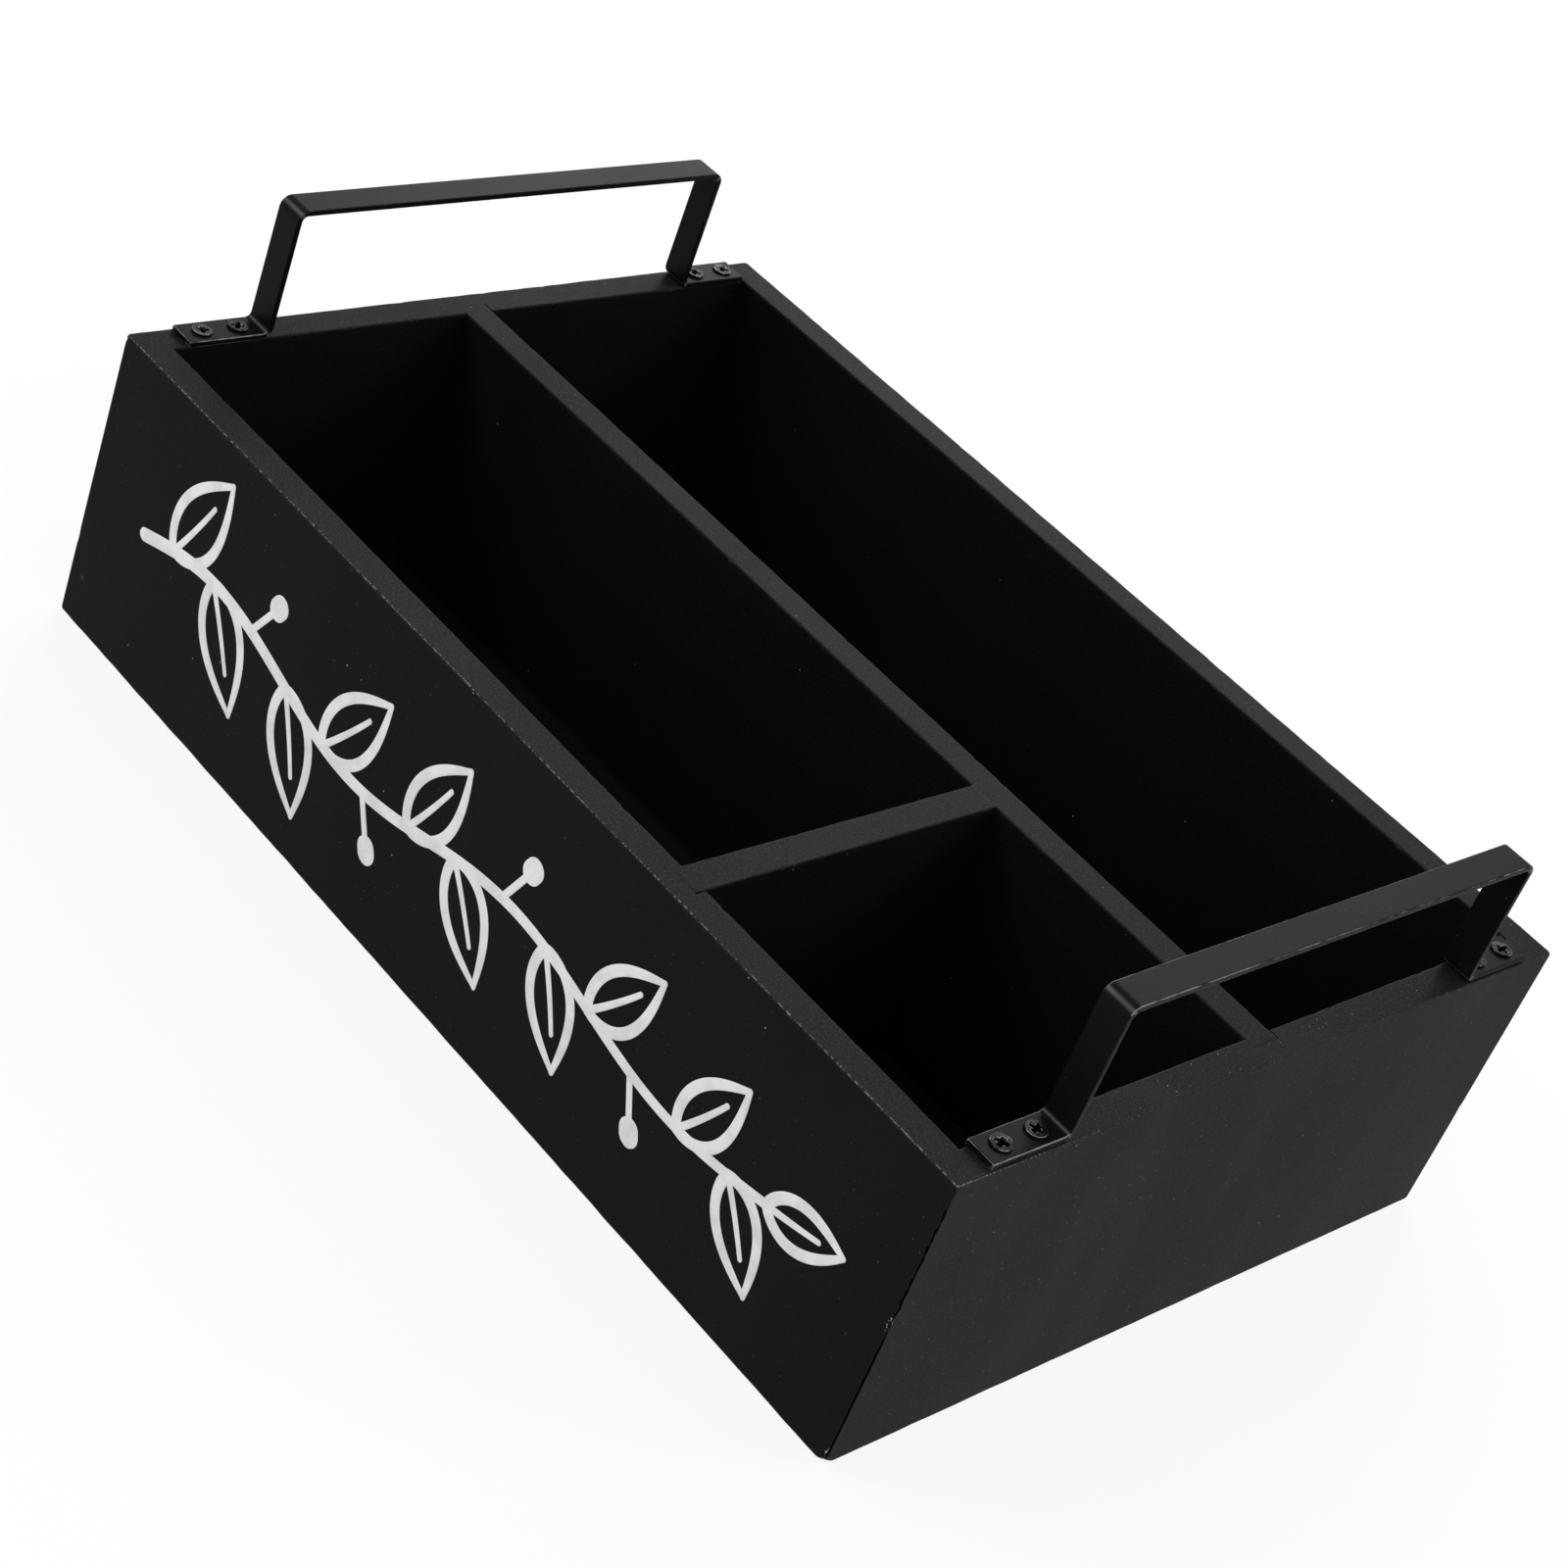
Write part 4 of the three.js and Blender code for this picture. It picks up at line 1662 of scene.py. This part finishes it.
@dataclass
class LeafPrint:
    """White leaf sprig printed on the front: one waving stem with outlined leaves and berries.

    Angles are radians from the stem, tapers are the share of a width that is lost by the tip, and the end
    gap is the bare stem at both ends in spacings of the leaves.
    """

    left: float = -126.0
    right: float = 112.0
    middle: float = 39.0
    wave: float = 6.0
    waves: float = 2.0
    calm: float = 0.35
    stroke: float = 3.6
    stem_taper: float = 0.3
    leaf_stroke: float = 2.9
    leaf_taper: float = 0.5
    rib_stroke: float = 1.9
    rib_taper: float = 0.4
    leaf_length: float = 32.0
    leaf_width: float = 15.5
    leaf_pairs: int = 7
    leaf_angle: float = 0.92
    leaf_curl: float = 2.5
    leaf_shrink: float = 0.2
    tip_leaf: float = 0.7
    tip_curl: float = 1.0
    stem_pull: float = 0.4
    end_gap: float = 0.7
    berry_every: int = 3
    berry_angle: float = 1.1
    stalk: float = 13.0
    berry_length: float = 1.2
    berry_width: float = 6.0
    film: float = 0.10
    film_step: float = 0.012
    film_steps: int = 4
    film_base: float = 0.02
    film_power: int = 10
    cap_steps: int = 6
    cap_share: float = 0.98
    sunk: float = 0.08
    points: list[np.ndarray] = field(default_factory=list)
    faces: list[list[int]] = field(default_factory=list)

    def stem(self, share: np.ndarray) -> np.ndarray:
        """Points of the stem: a sine wave from left to right that flattens out towards its tip.

        Args:
            share: Places along the stem, from 0 to 1.

        Returns:
            Points in x and z, as (places, 2).
        """
        across = self.left + (self.right - self.left) * share
        swell = self.wave * np.sin(2 * np.pi * self.waves * share) * (1 - self.calm * share)
        return np.stack([across, self.middle + swell], axis=-1)

    def heading(self, share: float) -> tuple[np.ndarray, float]:
        """A point of the stem, and its direction from there to a point just ahead, in radians."""
        foot, ahead = self.stem(np.array([share, share + 0.01]))
        return foot, math.atan2(*(ahead - foot)[::-1])

    def add_stroke(self, line: np.ndarray, width: np.ndarray) -> None:
        """Add one stroke: a low rounded ridge of ink carried along a line, with round ends.

        Across the stroke the film's height is its thickness times 1 - |q| ** film_power, where q runs from
        -1 to 1. At each end the half width follows a quarter circle. The thickness steps from stroke to
        stroke, so that two that cross don't lie in one plane.

        Args:
            line: Points in x and z, as (stations, 2).
            width: Full width at each point.
        """
        ahead = np.gradient(line, axis=0)
        ahead /= np.linalg.norm(ahead, axis=1, keepdims=True)
        turn = np.linspace(0, QUARTER_TURN, self.cap_steps + 1)[1:] * self.cap_share
        start = line[0] - ahead[0] * np.sin(turn[::-1])[:, None] * width[0] / 2
        stop = line[-1] + ahead[-1] * np.sin(turn)[:, None] * width[-1] / 2
        line = np.concatenate([start, line, stop])
        width = np.concatenate([width[0] * np.cos(turn[::-1]), width, width[-1] * np.cos(turn)])
        ends = len(turn)
        ahead = np.concatenate([np.repeat(ahead[:1], ends, 0), ahead, np.repeat(ahead[-1:], ends, 0)])
        aside = np.stack([-ahead[:, 1], ahead[:, 0]], axis=-1)
        upper = np.array([-1, -0.94, -0.84, -0.5, 0, 0.5, 0.84, 0.94, 1])
        across = np.concatenate([upper, [0.6, -0.6]])
        drawn = len(self.points)
        film = self.film + self.film_step * (1 + drawn % self.film_steps if drawn else 0)
        crest = film * (1 - np.abs(upper) ** self.film_power) + self.film_base
        ridge = np.concatenate([crest, [-self.sunk, -self.sunk]])
        spot = line[:, None, :] + aside[:, None, :] * (across[None, :, None] * width[:, None, None] / 2)
        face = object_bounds()[0][1] / MM
        out = np.broadcast_to(face - ridge, spot.shape[:2])
        points = np.stack([spot[..., 0], out, spot[..., 1]], axis=-1)
        faces = outward(points.reshape(-1, 3), tube_faces(*points.shape[:2]))
        first = sum(len(part) for part in self.points)
        self.points.append(points.reshape(-1, 3))
        self.faces += [[first + number for number in numbers] for numbers in faces]

    def add_leaf(self, foot: np.ndarray, heading: float, size: float, curl: float) -> None:
        """Add one leaf: two bowed sides from foot to tip and a midrib.

        Along the leaf at share s a side stands off by the half width times s ** 0.75 (1 - s) ** 1.1 over
        the largest value of that, and the whole leaf curls by curl times s squared.

        Args:
            foot: Where it leaves the stem.
            heading: Its direction in radians.
            size: Scale of its length and width.
            curl: Sideways drift of the tip in millimetres.
        """
        share = np.linspace(0, 1, 36)
        ahead = np.array([math.cos(heading), math.sin(heading)])
        aside = np.array([-ahead[1], ahead[0]])
        reach = share * self.leaf_length * size
        spine = foot + ahead * reach[:, None] + aside * (curl * share**2)[:, None]
        bulge = share**0.75 * (1 - share) ** 1.1
        for side in (-1, 1):
            stand_off = side * self.leaf_width * size / 2 * bulge / bulge.max()
            width = self.leaf_stroke * (1 - self.leaf_taper * share**4)
            self.add_stroke(spine + aside * stand_off[:, None], width)
        rib = slice(0, 25)
        self.add_stroke(spine[rib], self.rib_stroke * (1 - self.rib_taper * share[rib]))

    def add_berry(self, foot: np.ndarray, heading: float) -> None:
        """Add a round berry on a short stalk.

        Args:
            foot: Where the stalk leaves the stem.
            heading: Its direction in radians.
        """
        share = np.linspace(0, 1, 14)
        ahead = np.array([math.cos(heading), math.sin(heading)])
        stalk = foot + ahead * (share * self.stalk)[:, None]
        berry = foot + ahead * self.stalk + ahead * (share * self.berry_length)[:, None]
        self.add_stroke(stalk, np.full(len(share), self.rib_stroke))
        self.add_stroke(berry, np.full(len(share), self.berry_width))

    def build(self, ink: bpy.types.Material) -> None:
        """Draw the stem, its leaves in turn above and below, a berry between them and an end leaf.

        Args:
            ink: Finish of the print.
        """
        share = np.linspace(0, 1, 160)
        self.add_stroke(self.stem(share), self.stroke * (1 - self.stem_taper * share))
        for i in range(2 * self.leaf_pairs):
            up = 1 if i % 2 == 0 else -1
            at = (i + self.end_gap) / (2 * self.leaf_pairs - 1 + 2 * self.end_gap)
            foot, way = self.heading(at)
            way = self.stem_pull * way
            if i % self.berry_every != self.berry_every - 1:
                size = 1.0 - self.leaf_shrink * at
                self.add_leaf(foot, way + up * self.leaf_angle, size, up * self.leaf_curl)
            else:
                self.add_berry(foot, way + up * self.berry_angle)
        self.add_leaf(*self.heading(1.0), self.tip_leaf, self.tip_curl)
        piece = new_piece("leaf_print", np.concatenate(self.points), self.faces, crease=60)
        settle(piece, ink)


@dataclass(frozen=True)
class SoftLamp:
    """A square soft box that points at the object, in metres."""

    name: str
    place: tuple[float, float, float]
    width: float
    brightness: float

    def build(self, aim: Vector) -> None:
        """Hang the lamp, with the brightness of its face at a plain level of light.

        Args:
            aim: Point that it faces.
        """
        light = bpy.data.lights.new(self.name, "AREA")
        light.shape = "SQUARE"
        light.size = self.width
        light.energy = self.brightness * math.pi * self.width**2
        lamp = bpy.data.objects.new(self.name, light)
        lamp.location = self.place
        lamp.rotation_euler = (aim - Vector(self.place)).to_track_quat("-Z", "Y").to_euler()
        bpy.context.scene.collection.objects.link(lamp)


@dataclass
class Studio:
    """White floor, soft boxes, a white surround and the camera.

    The floor and the lamps are in metres, the camera's target and distance in millimetres and its angles
    in degrees.
    """

    floor_size: float = 12.0
    floor_tone: float = 0.9
    fibre_tone: float = 0.93
    fibre_size: float = 120
    shadow_share: float = 0.14
    ambient: float = 0.75
    lamps: Sequence[SoftLamp] = (
        SoftLamp("back_left_box", (-1.0, 1.35, 1.15), 1.1, 3.9),
        SoftLamp("back_right_box", (1.1, 1.34, 1.0), 0.5, 10.0),
        SoftLamp("front_left_box", (-1.0, -1.1, 1.34), 0.5, 9.5),
    )
    target: tuple[float, float, float] = (3.55, -1.38, 40.0)
    distance: float = 794.7
    azimuth: float = 36.40
    elevation: float = 33.50
    roll: float = 22.10
    lens: float = 76.76
    sensor: float = 36.0

    def seen_directly(self, recipe: Recipe) -> Shade:
        """1 for camera, mirror and clear rays, and 0 for the light that the surface sends around.

        Args:
            recipe: Node tree that asks.

        Returns:
            The mask.
        """
        kinds = ("Camera", "Glossy", "Transmission")
        camera, mirror, clear = (
            recipe.node("ShaderNodeLightPath", out=f"Is {kind} Ray") for kind in kinds
        )
        return (camera + mirror + clear).at_most(1.0)

    def build_floor(self) -> None:
        """Lay the floor: paper that shows white where it is seen, with a share left for the shadow."""
        half = self.floor_size / 2
        corners = [(-half, -half, 0), (half, -half, 0), (half, half, 0), (-half, half, 0)]
        mesh = bpy.data.meshes.new("floor")
        mesh.from_pydata(corners, [], [(0, 1, 2, 3)])
        floor = bpy.data.objects.new("floor", mesh)
        bpy.context.scene.collection.objects.link(floor)
        recipe = Recipe(bpy.data.materials.new("floor_paper"))
        colour = recipe.coats(self.floor_tone, (recipe.noise(self.fibre_size, 3), self.fibre_tone))
        paper = recipe.node("ShaderNodeBsdfDiffuse", sockets={"Color": colour})
        glow = recipe.node("ShaderNodeEmission", sockets={"Color": grey(1.0), "Strength": 1.0})
        share = self.seen_directly(recipe) * (1 - self.shadow_share)
        both = recipe.node("ShaderNodeMixShader", sockets={0: share, 1: paper, 2: glow})
        mesh.materials.append(recipe.close(both))
        floor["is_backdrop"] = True

    def build_world(self) -> None:
        """White surround: full where it is seen, less as light."""
        recipe = Recipe(bpy.data.worlds.new("surround"))
        strength = self.seen_directly(recipe) * (1 - self.ambient) + self.ambient
        glow = recipe.node("ShaderNodeBackground", sockets={"Color": grey(1.0), "Strength": strength})
        bpy.context.scene.world = recipe.close(glow, "ShaderNodeOutputWorld")

    def build_camera(self) -> None:
        """Stand the camera on the photograph's line of sight, rolled as the photograph is."""
        around, up = math.radians(self.azimuth), math.radians(self.elevation)
        back = Vector((math.sin(around) * math.cos(up), -math.cos(around) * math.cos(up), math.sin(up)))
        level = Vector((math.cos(around), math.sin(around), 0))
        upright = back.cross(level)
        roll = math.radians(self.roll)
        right = level * math.cos(roll) + upright * math.sin(roll)
        turn = Matrix((right, back.cross(right), back)).transposed()
        stand = (Vector(self.target) + back * self.distance) * MM
        data = bpy.data.cameras.new("camera")
        data.lens = self.lens
        data.sensor_width = self.sensor
        camera = bpy.data.objects.new("camera", data)
        camera.matrix_world = Matrix.Translation(stand) @ turn.to_4x4()
        bpy.context.scene.collection.objects.link(camera)
        bpy.context.scene.camera = camera

    def build(self) -> None:
        """Set up the floor, the surround, the lamps and the camera."""
        bpy.context.scene.view_settings.view_transform = "Standard"
        self.build_floor()
        self.build_world()
        for lamp in self.lamps:
            lamp.build(Vector(self.target) * MM)
        self.build_camera()


@dataclass
class Fasteners:
    """The handle screws and the hidden corner brads, with angles in degrees."""

    first_turn: float = 65.0
    turn_step: float = 80.0
    largest_lean: float = 2.5
    seed: int = 11

    def build(self, screw_steel: bpy.types.Material, brad_steel: bpy.types.Material) -> None:
        """Make a screw for each packed one, and dress the brads.

        Args:
            screw_steel: Finish of the screws.
            brad_steel: Finish of the brads.
        """
        draw = np.random.default_rng(self.seed)
        places = itertools.product(("left", "right"), ("front", "back"), ("outer", "inner"))
        for i, place in enumerate(places):
            lean = np.radians(draw.uniform(-self.largest_lean, self.largest_lean, 2))
            turn = math.radians(self.first_turn + i * self.turn_step)
            WoodScrew("_".join(("screw", *place)), turn, tuple(lean)).build(screw_steel)
        for node in sorted(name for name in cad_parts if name.startswith("brad_")):
            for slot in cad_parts[node].material_slots:
                slot.material = brad_steel
            log.info("%s: packed node with a new finish", node)


def main() -> None:
    """Build the organizer piece by piece, then the studio round it."""
    logging.basicConfig(level=logging.INFO, format="%(name)s: %(message)s")
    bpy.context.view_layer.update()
    paint, coat = BlackPaint().make(), StripCoat().make()
    Studio().build()
    LeafPrint().build(WhiteInk().make())
    Carcass().build(paint)
    Dividers().build(paint)
    for side, wear in HANDLE_EDGE_WEAR_AND_HIGHLIGHT.items():
        StripHandle(f"{side}_strip", f"{side}_handle", *wear).build(coat)
    Fasteners().build(ScrewBlack().make(), BradWire().make())


if __name__ == "__main__":
    main()
